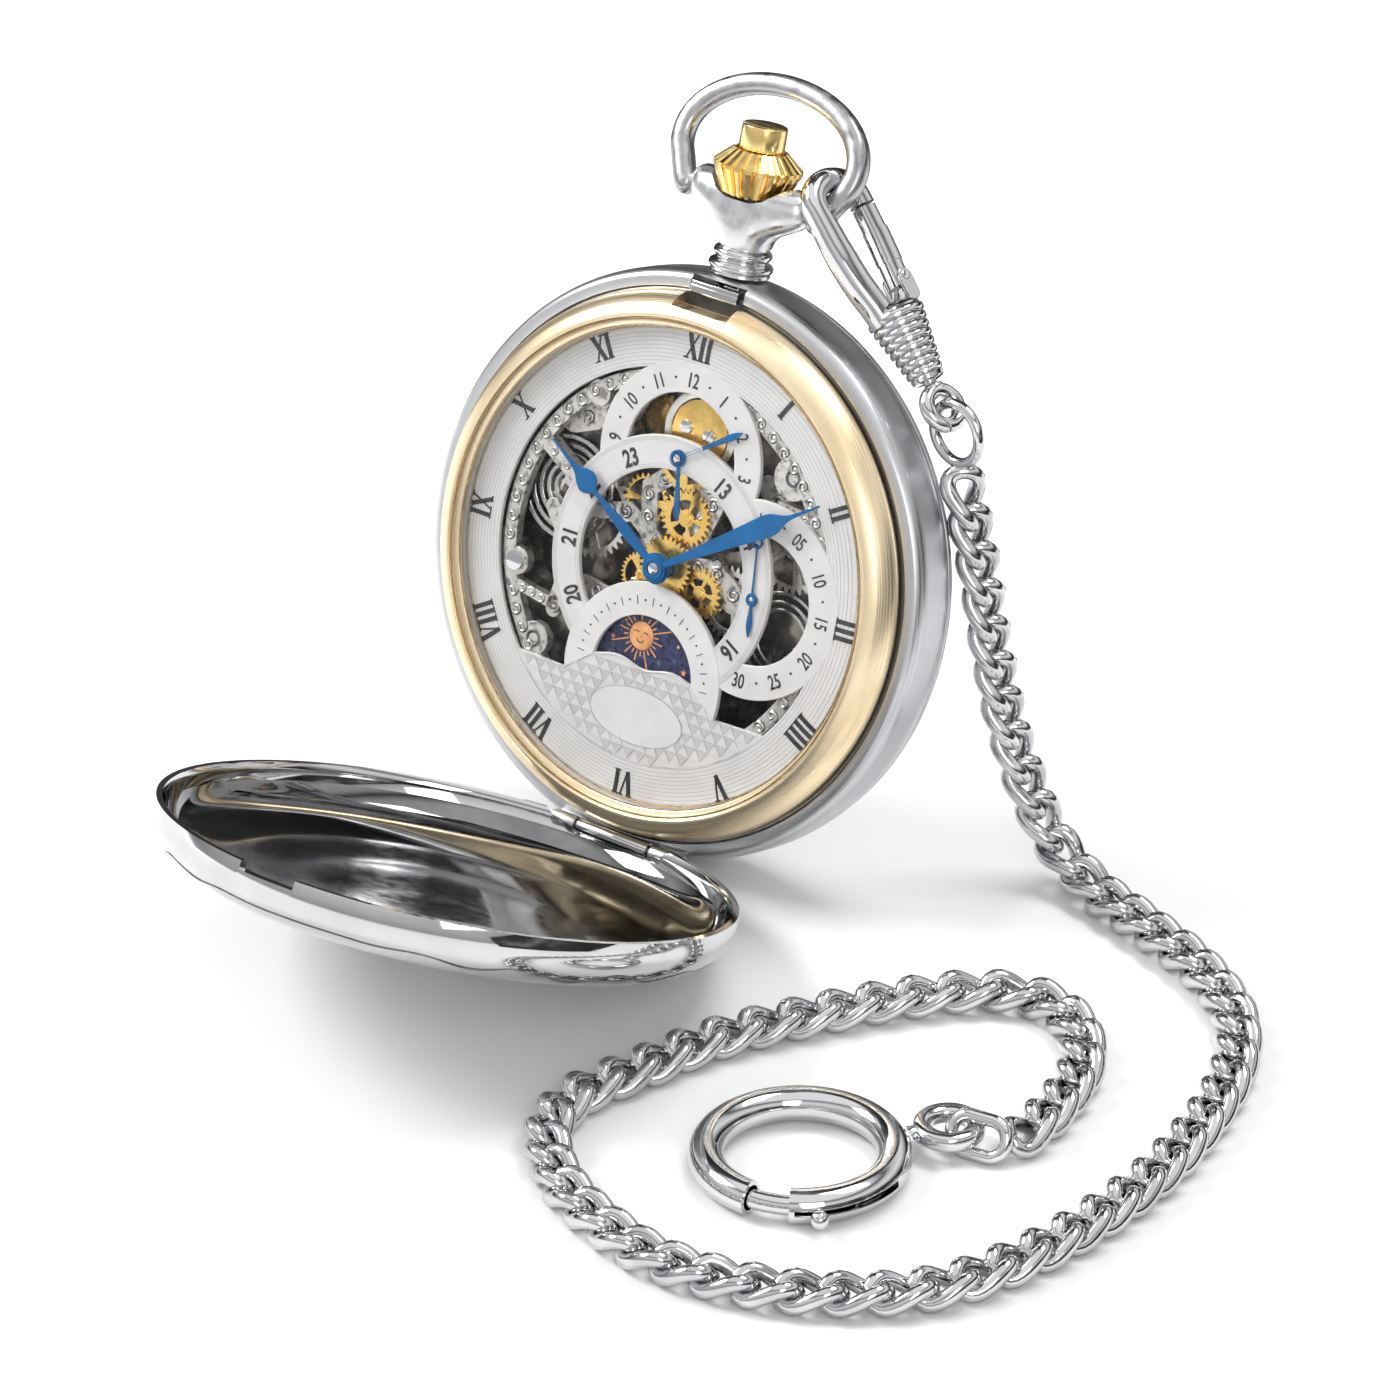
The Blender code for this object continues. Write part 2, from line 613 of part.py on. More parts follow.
def make_hands(frames):
    hour = [
        (1.3, 0.55), (6.0, 0.32), (8.6, 0.3), (9.6, 1.0), (10.4, 1.2), (11.3, 0.85), (13.0, 0.22),
        (15.6, 0.0),
    ]
    hand = make_hand("hour_hand", hour, 1.45, 0.28, frames["hour"], HOUR_ANGLE, 0.95, -0.95)
    cut(hand, rod_mesh(0.64, -2, 2, "hour_hand_bore", 16))
    minute = [(1.1, 0.4), (9.0, 0.42), (12.0, 0.75), (13.4, 0.85), (15.0, 0.62), (18.8, 0.0)]
    make_hand(
        "minute_hand", minute, 1.25, 0.52, frames["minute"], MINUTE_ANGLE, 0.55, -1.3, cap=(0.6, 0.76),
    )
    zone_hour = [(0.6, 0.18), (3.6, 0.3), (4.6, 0.34), (5.5, 0.0)]
    hand = make_hand(
        "zone_hour_hand", zone_hour, 0.8, -0.24, frames["zone_hour"], ZONE_HOUR_ANGLE, 0.48, -0.85,
    )
    cut(hand, rod_mesh(0.33, -2, 2, "zone_hand_bore", 16))
    zone_minute = [(0.6, 0.14), (5.2, 0.26), (6.4, 0.32), (7.5, 0.0)]
    make_hand(
        "zone_minute_hand", zone_minute, 0.75, -0.03, frames["zone_minute"], ZONE_MINUTE_ANGLE, 0.25, -0.5,
        cap=(0.35, 0.17),
    )


def make_sky_disc(frame):
    loops = [circle(5.75, 40), circle(0.5, 12)]
    return plate("sun_moon_disc", loops, -1.2, -1.05, frame, "navy_enamel")


# --- movement ------------------------------------------------------------------------------------
BARREL_AT = (-6.5, 6.5)
THIRD_AT = (5.1, -4.8)
FOURTH_AT = SECONDS_CENTRE
ESCAPE_AT = (12.0, -5.25)
PALLET_AT = (11.3, -8.3)
BALANCE_AT = (6.3, -12.0)
MINUTE_WHEEL_AT = (-2.7, -1.6)
CROWN_WHEEL_AT = (0.9, 12.5)
CLICK_AT = (-12.9, 4.0)
CASE_SCREW_AT = (-15.8, -3.95)
BRIDGE_SCREWS = {
    "barrel_bridge_screw": (-13.2, 9.3),
    "train_bridge_screw": (15.5, 2.5),
    "escape_bridge_screw": (16.4, -6.6),
    "balance_cock_screw": (-7.5, -14.6),
}


def make_movement_ring(case):
    ring = turned("movement_ring", tube_profile(19.4, 20.9, -7.2, -1.05), case, "satin_silver", steps=40)
    return cut(ring, rod_mesh(1.1, 17.0, 24.0, "stem_way", 16, ALONG_Y, (0, 0, HEAD_Z)))


def make_main_plate(case):
    drilled = [
        (0, 0, 0.7), (*THIRD_AT, 0.45), (*FOURTH_AT, 0.55), (*ESCAPE_AT, 0.45), (*BALANCE_AT, 0.45),
        (*PALLET_AT, 0.4), (*BARREL_AT, 0.9), (*ZONE_CENTRE, 0.5), (*CASE_SCREW_AT, 0.6),
    ]
    windows = [
        (-11.4, -2.2, 2.9), (-4.2, 12.4, 2.6), (12.6, 6.3, 1.9), (4.6, 4.4, 2.7), (13.9, -5.2, 1.6),
        (-4.9, -6.2, 2.2), (3.9, 12.6, 2.4),
    ]
    loops = [circle(PLATE_R, 40)]
    loops += [circle(radius, 8, (x, y), 0.1) for x, y, radius in drilled]
    loops += [circle(radius, 16, (x, y), 0.1) for x, y, radius in windows]
    return plate("main_plate", loops, *PLATE_Z, case, "engraved_steel")


def bar_outline(spine, width):
    """A bar with round ends along a spine, counterclockwise."""
    loop = []
    for points in (spine, spine[::-1]):
        points = [Vector(p) for p in points]
        for before, here, after in zip(points, points[1:], points[2:]):
            along = ((after - here).normalized() + (here - before).normalized()).normalized()
            loop.append(tuple(here + width * Vector((along.y, -along.x))))
        along = points[-1] - points[-2]
        heading = math.atan2(along.y, along.x)
        turns = [heading - math.pi / 2 + math.pi * i / 10 for i in range(11)]
        loop += [tuple(points[-1] + width * Vector((math.cos(a), math.sin(a)))) for a in turns]
    return loop


def bridge(name, spine, width, case, holes):
    """A flat cock or bridge, drilled for its arbors and its screw."""
    body = plate(name, [bar_outline(spine, width)], *BRIDGE_Z, case, "engraved_steel")
    for index, (x, y, radius) in enumerate(holes):
        cut(body, rod_mesh(radius, -8, -5, f"{name}_hole{index}", 12, UPRIGHT, (x, y, 0)))
    return body


def wheel(name, frame, teeth, tip, depth, level, arbor, pinion=None, material="brass", windows=None, lean=0):
    """A toothed wheel on its arbor: level is (low, high), arbor and pinion are (radius, low, high)."""
    loops = [gear_outline(teeth, tip - depth, tip, lean)]
    if windows:
        loops += ring_of_holes(*windows)
    body = plate(name, loops, *level, frame, material)
    join(body, rod_mesh(arbor[0], arbor[1], arbor[2], name + "_arbor", 12))
    if pinion:
        leaves = gear_outline(6, pinion[0] - 0.25, pinion[0])
        join(body, plate_mesh([leaves], pinion[1], pinion[2], name + "_pinion"))
    return body


def make_train(frames):
    drum = rod_profile(7.3, -4.65, -3.45)
    barrel = turned("mainspring_barrel", drum, frames["barrel"], "brass", 28, OFF_GRID)
    join(barrel, plate_mesh([gear_outline(36, 7.6, 8.1)], -3.9, -3.6, "barrel_teeth"))
    join(barrel, rod_mesh(0.75, -7.15, -3.3, "barrel_arbor", 16))
    wheel("centre_wheel", frames["centre"], 32, 6.1, 0.4, (-5.15, -4.95), (0.4, -5.95, -1.6),
          pinion=(0.95, -4.05, -3.5), windows=(4, 3.6, 1.4))
    wheel("third_wheel", frames["third"], 28, 6.1, 0.4, (-4.45, -4.25), (0.3, -5.95, -3.3),
          pinion=(0.8, -5.4, -4.75), windows=(4, 3.6, 1.4))
    wheel("fourth_wheel", frames["fourth"], 26, 4.95, 0.35, (-3.75, -3.55), (0.28, -5.95, -0.28),
          pinion=(0.78, -4.7, -4.1), windows=(4, 2.9, 1.1))
    wheel("escape_wheel", frames["escape"], 15, 2.7, 0.8, (-5.0, -4.85), (0.2, -5.95, -3.3),
          pinion=(0.62, -3.95, -3.4), material="dark_steel", lean=0.3)
    make_seconds_hand(frames["fourth"])
    make_pallet_and_balance(frames["pallet"], frames["balance"])


def make_seconds_hand(frame):
    front = [(0.4, 0.09), (4.5, 0.09), (4.8, 0.5), (5.2, 0.55), (5.6, 0.5), (5.9, 0.09), (7.8, 0.0)]
    back = [(0.4, 0.12), (1.6, 0.28), (2.4, 0.3), (3.4, 0.0)]
    make_hand(
        "seconds_hand", front, 0.6, -0.22, frame, SECONDS_ANGLE, 0.2, -0.19, cap=(0.3, -0.02), tail=back,
    )


def make_pallet_and_balance(pallet_frame, balance_frame):
    right = [(0.5, 0.4), (2.1, -0.5), (2.3, -1.0), (1.9, -1.1)]
    anchor = [(-x, y) for x, y in right] + [(0, -0.15)] + right[::-1]
    escape_way = Vector(PALLET_AT) - Vector(ESCAPE_AT)
    facing = Matrix.Rotation(math.atan2(-escape_way.x, escape_way.y), 3, "Z")
    fork = plate("pallet_fork", [anchor], -5.0, -4.8, pallet_frame, "dark_steel", facing)
    balance_way = Vector(BALANCE_AT) - Vector(PALLET_AT)
    lever = bar_outline([(0, 0), tuple(balance_way * 0.78)], 0.33)
    join(fork, plate_mesh([lever], -4.98, -4.82, "fork_lever"))
    join(fork, rod_mesh(0.2, -5.95, -3.3, "fork_arbor", 12))
    loops = [circle(4.9, 32), *[spoke_window(i) for i in range(3)]]
    balance = plate("balance_wheel", loops, -5.8, -5.35, balance_frame, "brass")
    join(balance, rod_mesh(0.25, -5.98, -3.3, "balance_staff", 12))
    turns = [(TAU * i / 12, 0.55 + 0.055 * i) for i in range(32)]
    spiral = [(r * math.cos(a), r * math.sin(a), -5.05) for a, r in turns]
    wire("hairspring", spiral, 0.06, balance_frame, "blued_steel", sides=1)


def spoke_window(index):
    start = TAU * index / 3 + 0.14
    return arc_band(0.9, 4.1, start, start + TAU / 3 - 0.28, 8)


def make_motion_works(frames):
    sleeve = tube_profile(0.62, 0.85, -1.85, -1.3)
    cannon = turned("cannon_pinion", sleeve, frames["minute"], "dark_steel", 16)
    join(cannon, turned_mesh(rod_profile(0.7, -1.5, -1.32), 16, UPRIGHT, (0, 0, 0), "cannon_cap"))
    loops = [gear_outline(16, 2.35, 2.75), circle(1.0, 14)]
    plate("hour_wheel", loops, -1.2, -1.0, frames["hour"], "brass")
    wheel("minute_wheel", frames["minute_wheel"], 16, 2.1, 0.35, (-1.7, -1.5), (0.3, -1.85, -1.45))
    wheel("zone_wheel", frames["zone_minute"], 20, 3.2, 0.4, (-1.75, -1.55), (0.22, -1.85, -0.55),
          windows=(4, 1.9, 0.6))


def make_winding_works(frames):
    level = (-7.65, -7.4)
    hub = (0.8, -7.8, -7.35)
    wheel("ratchet_wheel", frames["ratchet"], 20, 5.1, 0.45, level, hub, material="dark_steel", lean=0.3)
    wheel("crown_wheel", frames["crown_wheel"], 18, 4.1, 0.45, level, hub)
    finger = [(-0.7, 0.5), (-0.7, -0.5), (0.5, -0.6), (1.35, -0.15), (1.35, 0.15), (0.5, 0.6)]
    plate("click", [finger], *level, frames["click"], "dark_steel", Matrix.Rotation(0.35, 3, "Z"))


def make_bridges(case):
    bridge("barrel_bridge", [(-13.2, 9.3), BARREL_AT, (0.9, 12.5), (3.6, 15.0)], 2.6, case,
           [(*BARREL_AT, 0.9), (*BRIDGE_SCREWS["barrel_bridge_screw"], 0.62)])
    bridge("train_bridge", [(-4.5, -2.5), (0, 0), (5.6, -1.6), (10.1, -1.2), (15.5, 2.5)], 1.9, case,
           [(0, 0, 0.5), (*BRIDGE_SCREWS["train_bridge_screw"], 0.62), (*FOURTH_AT, 0.4)])
    bridge("escape_bridge", [THIRD_AT, ESCAPE_AT, (16.4, -6.6)], 1.2, case,
           [(*THIRD_AT, 0.4), (*ESCAPE_AT, 0.35), (*BRIDGE_SCREWS["escape_bridge_screw"], 0.62)])
    bridge("balance_cock", [BALANCE_AT, (-0.5, -14.6), (-7.5, -14.6)], 1.5, case,
           [(*BALANCE_AT, 0.35), (*BRIDGE_SCREWS["balance_cock_screw"], 0.62)])


def make_screw(name, place, low, high, head_r, case):
    profile = [(0, high), (0.5, high), (0.5, low + 0.35), (head_r, low + 0.35), (head_r, low), (0, low)]
    screw = turned(name, profile, case, "dark_steel", 10, UPRIGHT, place)
    x, y, _ = place
    slot = box_mesh((x - 0.12, y - 1.2, low - 0.1), (x + 0.12, y + 1.2, low + 0.14), name + "_slot")
    return cut(screw, slot)


def make_dial_screw(name, place, low, high, case):
    """A case screw seen from the front: head on top, slotted."""
    profile = [(0, high), (0.95, high), (0.95, high - 0.35), (0.45, high - 0.35), (0.45, low), (0, low)]
    screw = turned(name, profile, case, "satin_silver", 20, UPRIGHT, place)
    x, y, _ = place
    slot = box_mesh((x - 0.11, y - 1.3, high - 0.14), (x + 0.11, y + 1.3, high + 0.1), name + "_slot")
    return cut(screw, slot)


# --- clasp, swivel, jump ring --------------------------------------------------------------------
def make_clasp(clasp, gate, swivel):
    """Clasp frame: z runs up the hook from its barrel, x towards the gate, origin inside the bend."""
    points = [(-1.35, 0, -11.5), (-1.6, 0, -10.0), (-2.15, 0, -7.5), (-2.45, 0, -4.5), (-HOOK_R, 0, -2.0)]
    bend = [math.pi * i / 12 for i in range(13)]
    points += [(-HOOK_R * math.cos(a), 0, HOOK_R * math.sin(a)) for a in bend]
    points += [(HOOK_R, 0, -0.9)]
    hook = wire("clasp_hook", points, HOOK_WIRE_R, clasp, "silver")
    profile = [(0, BARREL_TOP), (1.9, BARREL_TOP), (2.55, BARREL_TOP - 0.5)]
    grooves = 7
    for i in range(grooves):
        level = BARREL_TOP - 0.9 - i * 0.86
        radius = 2.62 - 0.15 * i
        profile += [(radius, level), (radius - 0.28, level - 0.43)]
    profile += [(1.5, BARREL_END + 0.3), (1.3, BARREL_END), (0, BARREL_END)]
    join(hook, turned_mesh(profile, 16, OFF_GRID, (0, 0, 0), "barrel"))
    rear = wire_mesh([(1.3, 0, -11.4), (1.6, 0, -10.2), (2.05, 0, -9.2)], HOOK_WIRE_R, "rear_limb")
    join(hook, rear)
    for side in (-1, 1):
        low, high = sorted((side * 0.75, side * 1.4))
        join(hook, box_mesh((1.35, low, -10.4), (2.75, high, -7.6), f"gate_cheek{side}"))
    gate_room = box_mesh((0.9, -0.95, -9.3), (3.6, 0.95, -7.0), "gate_room")
    cut(hook, gate_room, rod_mesh(0.36, -2.0, 2.0, "gate_pin_bore", 12, ALONG_Y, (GATE_AT[0], 0, GATE_AT[2])))
    cut(hook, rod_mesh(0.7, BARREL_END - 1, BARREL_END + 1.6, "swivel_bore", 16))
    gate_bar = wire("clasp_gate", [(0.42, 0, 7.1), (0.3, 0, 3.5), (0.0, 0, -0.6)], 0.85, gate, "silver")
    join(gate_bar, rod_mesh(0.28, -1.35, 1.35, "gate_pin", 12, ALONG_Y))
    top = -EYE_DROP + 2.35
    loop = [(x, 0, z - EYE_DROP) for x, z in circle(1.65, 14)]
    eye = wire("swivel_eye", loop, 0.7, swivel, "silver", cyclic=True)
    join(eye, rod_mesh(0.6, top - 0.4, BARREL_END + 1.2, "swivel_post", 16))
    ring_drop = EYE_DROP + JUMP_RING_R - 0.15
    ring = [(0, y, z - ring_drop) for y, z in circle(JUMP_RING_R, 20)]
    wire("jump_ring", ring, JUMP_RING_WIRE_R, swivel, "silver", cyclic=True)


def place_clasp(case):
    """Hangs the clasp on the bow's right shoulder, swung out along the chain's pull."""
    at = CLASP_POINT
    hook_local = Vector((BOW_HALF_WIDTH * math.cos(at), BOW_CENTRE + BOW_HALF_HEIGHT * math.sin(at), 0))
    hook_at = BOW_PIVOT + Matrix.Rotation(-BOW_TILT, 3, "X") @ hook_local
    down = CLASP_AXIS.normalized()
    across = Vector((-down.y, down.x, 0)).normalized()
    gate_side = across * math.sin(CLASP_TWIST) - Vector((0, 0, 1)) * math.cos(CLASP_TWIST)
    clasp = add_empty("clasp_axis", case, hook_at, axes(gate_side, -down))
    gate = add_empty("clasp_gate_axis", clasp, GATE_AT)
    swivel = add_empty("swivel_axis", clasp, (0, 0, 0))
    make_clasp(clasp, gate, swivel)


# --- chain and spring ring -----------------------------------------------------------------------
# the chain's route from the jump ring down to the ground, round the loop and in to the spring ring
CHAIN_ROUTE = [
    (24.5, 29.0, 39.0), (25.6, 29.2, 34.0), (26.5, 29.5, 29.0), (27.4, 30.0, 22.5), (28.6, 31.0, 15.0),
    (30.6, 31.9, 8.4), (33.4, 32.3, 3.6), (38.5, 30.8, 1.7), (45.5, 28.4, 1.5), (53.5, 25.0, 1.5),
    (60.4, 19.8, 1.5), (64.6, 12.6, 1.5), (67.2, 3.4, 1.5), (68.3, -7.0, 1.5), (67.2, -18.5, 1.5),
    (64.0, -28.0, 1.5), (58.4, -34.0, 1.5), (51.0, -37.8, 1.5), (42.8, -39.1, 1.5), (35.0, -37.4, 1.5),
    (28.6, -34.2, 1.5), (23.8, -29.2, 1.5), (22.5, -23.4, 1.5), (24.2, -16.6, 1.5), (26.4, -9.2, 1.5),
    (30.0, -2.4, 1.5), (35.0, 5.2, 1.5), (40.2, 10.8, 1.5), (45.2, 12.6, 1.5), (50.4, 10.4, 1.5),
    (54.2, 5.0, 1.5), (55.9, -2.0, 1.5), (56.0, -6.9, 1.5),
]


def ring_point(angle, radius=SPRING_RING_R, height=0.0):
    return SPRING_RING_CENTRE + Vector((radius * math.cos(angle), radius * math.sin(angle), height))


def ring_arc(start, end, count, radius=SPRING_RING_R, height=0.0):
    return [ring_point(start + (end - start) * i / count, radius, height) for i in range(count + 1)]


def make_spring_ring(ground, bolt_frame):
    start, end = RING_GAP[1], RING_GAP[0] + TAU
    tube = wire("spring_ring", ring_arc(start, end, 32), SPRING_TUBE_R, ground, "silver")
    cut(tube, wire_mesh(ring_arc(start - 0.1, math.radians(8), 12), SPRING_BORE_R, "bolt_bore"))
    cut(tube, wire_mesh(ring_arc(end + 0.1, end - math.radians(16), 4), SPRING_BORE_R, "bolt_seat"))
    slot = ring_arc(math.radians(-50), math.radians(-12), 8, SPRING_RING_R + 1.2)
    cut(tube, wire_mesh(slot, 0.62, "knob_slot"))
    at = SPRING_RING_CENTRE
    bolt = [p - at for p in ring_arc(math.radians(-94), math.radians(-22), 14)]
    bar = wire("ring_bolt", bolt, 0.8, bolt_frame, "silver")
    spot = math.radians(-44)
    post = [p - at for p in (ring_point(spot, SPRING_RING_R), ring_point(spot, SPRING_RING_R + 2.2, 0.1))]
    join(bar, wire_mesh(post, 0.35, "bolt_post"))
    knob = turned_mesh([(0, 0.75), (0.53, 0.53), (0.75, 0), (0.53, -0.53), (0, -0.75)], 14, UPRIGHT,
                       ring_point(spot, SPRING_RING_R + 2.4, 0.1) - at, "bolt_knob")
    join(bar, knob)


def make_eyelet(ground):
    out = Vector((math.cos(EYELET_ANGLE), math.sin(EYELET_ANGLE), 0))
    centre = SPRING_RING_CENTRE + out * EYELET_DISTANCE + Vector((0, 0, 0.35))
    loop = [centre + Vector((x, y, 0)) for x, y in circle(EYELET_R, 18)]
    eyelet = wire("ring_eyelet", loop, EYELET_WIRE_R, ground, "silver", cyclic=True)
    neck = [SPRING_RING_CENTRE + out * (SPRING_RING_R + SPRING_TUBE_R + 0.25), centre - out * EYELET_R]
    join(eyelet, wire_mesh(neck, 0.6, "eyelet_neck"))
    return centre


def make_end_link(ground, eyelet_centre):
    """A long link through the eyelet, tilted so that it passes over and under the eyelet's wire."""
    along = Vector((1.0, 0.14, 0.0)).normalized()
    across = Vector((-along.y, along.x, 0))
    lift = math.radians(60)
    side = across * math.cos(lift) + Vector((0, 0, 1)) * math.sin(lift)
    middle = eyelet_centre + along * (EYELET_R + 0.5)
    half, radius = 1.0, 1.55
    points = []
    for sign in (1, -1):
        for i in range(9):
            turn = -math.pi / 2 + math.pi * i / 8
            reach = along * (half + radius * math.cos(turn)) + side * radius * math.sin(turn)
            points.append(middle + sign * reach)
    wire("chain_end_link", points, 0.5, ground, "silver", cyclic=True)


def make_chain(ground):
    wire("curb_chain", smooth_route(CHAIN_ROUTE, CHAIN_POINTS), CHAIN_R, ground, "silver")


def build():
    ground = add_empty("ground", None, (0, CENTRING, 0))
    case = add_empty("case_frame", ground, DIAL_CENTRE, Matrix.Rotation(math.pi / 2 - LEAN, 3, "X"))

    make_case_middle(case)
    make_bezel(case)
    make_crystal(case)
    make_back_cover(case)
    cover = add_empty("front_cover_axis", case, (0, HINGE_Y, HINGE_Z), Matrix.Rotation(COVER_OPEN, 3, "X"))
    make_front_cover(cover)
    make_hinge_pin(case)
    make_catch(add_empty("cover_catch_axis", case, (0, 25.35, -1.2)))
    make_case_springs(case)

    make_pendant(case)
    bow = add_empty("bow_axis", case, BOW_PIVOT, Matrix.Rotation(-BOW_TILT, 3, "X"))
    make_bow(bow)
    stem = add_empty("winding_stem_axis", case, (0, 0, HEAD_Z))
    crown = add_empty("crown_axis", stem, (0, 0, 0))
    button = add_empty("release_button_axis", crown, (0, 0, 0))
    make_stem_and_crown(stem, crown, button)

    make_dial(case)
    spots = {
        "hour": (0, 0), "minute": (0, 0), "centre": (0, 0), "zone_hour": ZONE_CENTRE,
        "zone_minute": ZONE_CENTRE, "sky": SKY_CENTRE, "minute_wheel": MINUTE_WHEEL_AT,
        "barrel": BARREL_AT, "third": THIRD_AT, "fourth": FOURTH_AT, "escape": ESCAPE_AT,
        "pallet": PALLET_AT, "balance": BALANCE_AT,
        "ratchet": BARREL_AT, "crown_wheel": CROWN_WHEEL_AT, "click": CLICK_AT,
    }
    frames = {key: add_empty(f"{key}_arbor", case, (x, y, 0)) for key, (x, y) in spots.items()}
    make_hands(frames)
    make_sky_disc(frames["sky"])
    make_movement_ring(case)
    make_main_plate(case)
    make_train(frames)
    make_motion_works(frames)
    make_winding_works(frames)
    make_bridges(case)
    make_dial_screw("case_screw", (*CASE_SCREW_AT, 0), -2.3, -1.4, case)
    for name, (x, y) in BRIDGE_SCREWS.items():
        make_screw(name, (x, y, 0), -7.75, -5.2, 0.95, case)

    place_clasp(case)
    bolt_frame = add_empty("ring_bolt_axis", ground, SPRING_RING_CENTRE)
    make_spring_ring(ground, bolt_frame)
    centre = make_eyelet(ground)
    make_end_link(ground, centre)
    make_chain(ground)


clear_scene()
PARTS = new_collection("pocket_watch")
GUIDES = new_collection("joint_axes")
CUTTERS = new_collection("cutters")
LOOK = {name: make_material(name) for name in MATERIALS}
build()
bpy.context.view_layer.update()
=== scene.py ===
"""The looks of the pocket watch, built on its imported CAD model.

Lengths are millimetres until an object is placed. The case frame has x towards III, y towards XII
and z out of the dial, from the centre of the dial's printed face.
"""

import json
import math

import bpy
from mathutils import Matrix, Vector


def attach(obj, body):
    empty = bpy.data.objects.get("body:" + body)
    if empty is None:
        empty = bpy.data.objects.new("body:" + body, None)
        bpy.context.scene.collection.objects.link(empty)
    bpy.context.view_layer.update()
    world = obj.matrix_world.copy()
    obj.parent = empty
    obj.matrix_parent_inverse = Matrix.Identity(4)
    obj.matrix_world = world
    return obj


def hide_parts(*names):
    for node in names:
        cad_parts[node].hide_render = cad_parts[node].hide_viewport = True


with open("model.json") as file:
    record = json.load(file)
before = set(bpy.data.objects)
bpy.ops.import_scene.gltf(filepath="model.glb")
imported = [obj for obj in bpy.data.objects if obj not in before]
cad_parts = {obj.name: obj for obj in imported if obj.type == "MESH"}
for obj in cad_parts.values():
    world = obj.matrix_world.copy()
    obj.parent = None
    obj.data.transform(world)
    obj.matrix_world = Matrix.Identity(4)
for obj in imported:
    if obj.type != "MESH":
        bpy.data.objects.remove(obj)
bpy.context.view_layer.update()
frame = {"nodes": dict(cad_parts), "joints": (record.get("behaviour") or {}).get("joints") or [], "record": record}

MM = 0.001
TAU = 2 * math.pi
JOINTS = {joint["name"]: joint for joint in frame["joints"]}


def axes_at(origin, x, z):
    """A placing matrix, metres, from an origin and the directions of its X and Z axes."""
    z = Vector(z).normalized()
    x = (Vector(x) - Vector(x).dot(z) * z).normalized()
    turn = Matrix((x, z.cross(x), z)).transposed().to_4x4()
    return Matrix.Translation(origin) @ turn


def joint_place(name):
    return Vector(JOINTS[name]["pos_m"])


def joint_axis(name):
    return Vector(JOINTS[name]["axis"])


WORLD = Matrix.Identity(4)
CASE = axes_at(joint_place("minute_hand_turn"), (1, 0, 0), joint_axis("minute_hand_turn"))
ROUTE_AHEAD = 17.8  # the chain's route is measured from this far in front of the dial's centre
GROUND_Y = CASE.translation.y / MM - ROUTE_AHEAD


def in_case(name):
    """A joint's place in the case frame, millimetres."""
    return CASE.inverted() @ joint_place(name) / MM


def put_in_scene(name, data):
    thing = bpy.data.objects.new(name, data)
    bpy.context.scene.collection.objects.link(thing)
    return thing


# --- camera ----------------------------------------------------------------------------------------
CAMERA_PLACE = Vector((330.3, 155.3, 499.6))
CAMERA_RIGHT = Vector((0.8007, 0.1689, -0.5747))
CAMERA_BACK = Vector((0.5238, 0.2680, 0.8086))
LENS = 180.0


def make_camera():
    data = bpy.data.cameras.new("camera")
    data.lens = LENS
    data.sensor_width = 36.0
    data.clip_start = 0.01
    data.clip_end = 10.0
    camera = put_in_scene("camera", data)
    camera.matrix_world = CASE @ axes_at(CAMERA_PLACE * MM, CAMERA_RIGHT, CAMERA_BACK)
    bpy.context.scene.camera = camera


make_camera()


# --- mesh builders -----------------------------------------------------------------------------
def new_mesh(name, points, faces):
    mesh = bpy.data.meshes.new(name)
    mesh.from_pydata([tuple(p) for p in points], [], faces)
    mesh.validate()
    return mesh


def place(name, mesh, material, body="case", replaces=(), sharp=35, at=CASE):
    """Puts a mesh that is in millimetres into the row frame, and hands it to its CAD body."""
    mesh.transform(at @ Matrix.Scale(MM, 4))
    mesh.materials.clear()
    mesh.materials.append(material)
    mesh.shade_smooth()
    mesh.set_sharp_from_angle(angle=math.radians(sharp))
    piece = put_in_scene(name, mesh)
    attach(piece, body)
    if replaces:
        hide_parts(*replaces)
    return piece


def merged(meshes):
    points = []
    faces = []
    for mesh in meshes:
        base = len(points)
        points += [v.co.copy() for v in mesh.vertices]
        faces += [tuple(base + i for i in face.vertices) for face in mesh.polygons]
    return new_mesh("merged", points, faces)


def moved(mesh, matrix):
    mesh.transform(matrix)
    return mesh


def revolve(profile, steps, wave=None):
    """Turns (radius, height) points about Z. An end on the axis closes it, else it is a ring.

    wave(angle, radius, height) may return another radius, for flutes and the like.
    """
    area = sum(a[0] * b[1] - b[0] * a[1] for a, b in zip(profile, profile[1:] + profile[:1]))
    if area > 0:
        profile = profile[::-1]
    points = []
    rings = []
    for radius, height in profile:
        if radius < 1e-6:
            rings.append([len(points)])
            points.append((0, 0, height))
            continue
        rings.append(list(range(len(points), len(points) + steps)))
        for i in range(steps):
            angle = TAU * i / steps
            r = wave(angle, radius, height) if wave else radius
            points.append((r * math.cos(angle), r * math.sin(angle), height))
    pairs = list(zip(rings, rings[1:]))
    if len(rings[0]) > 1 or len(rings[-1]) > 1:
        pairs.append((rings[-1], rings[0]))
    faces = []
    for upper, lower in pairs:
        for i in range(steps):
            j = (i + 1) % steps
            if len(upper) == 1 and len(lower) == 1:
                break
            if len(upper) == 1:
                faces.append((upper[0], lower[i], lower[j]))
            elif len(lower) == 1:
                faces.append((upper[i], lower[0], upper[j]))
            else:
                faces.append((upper[i], lower[i], lower[j], upper[j]))
    return outward(new_mesh("turned", points, faces))


def lathe(profile, steps, edge, arcs=2):
    """A turned shape with its edges rounded."""
    return revolve(rounded(profile, edge, arcs), steps)


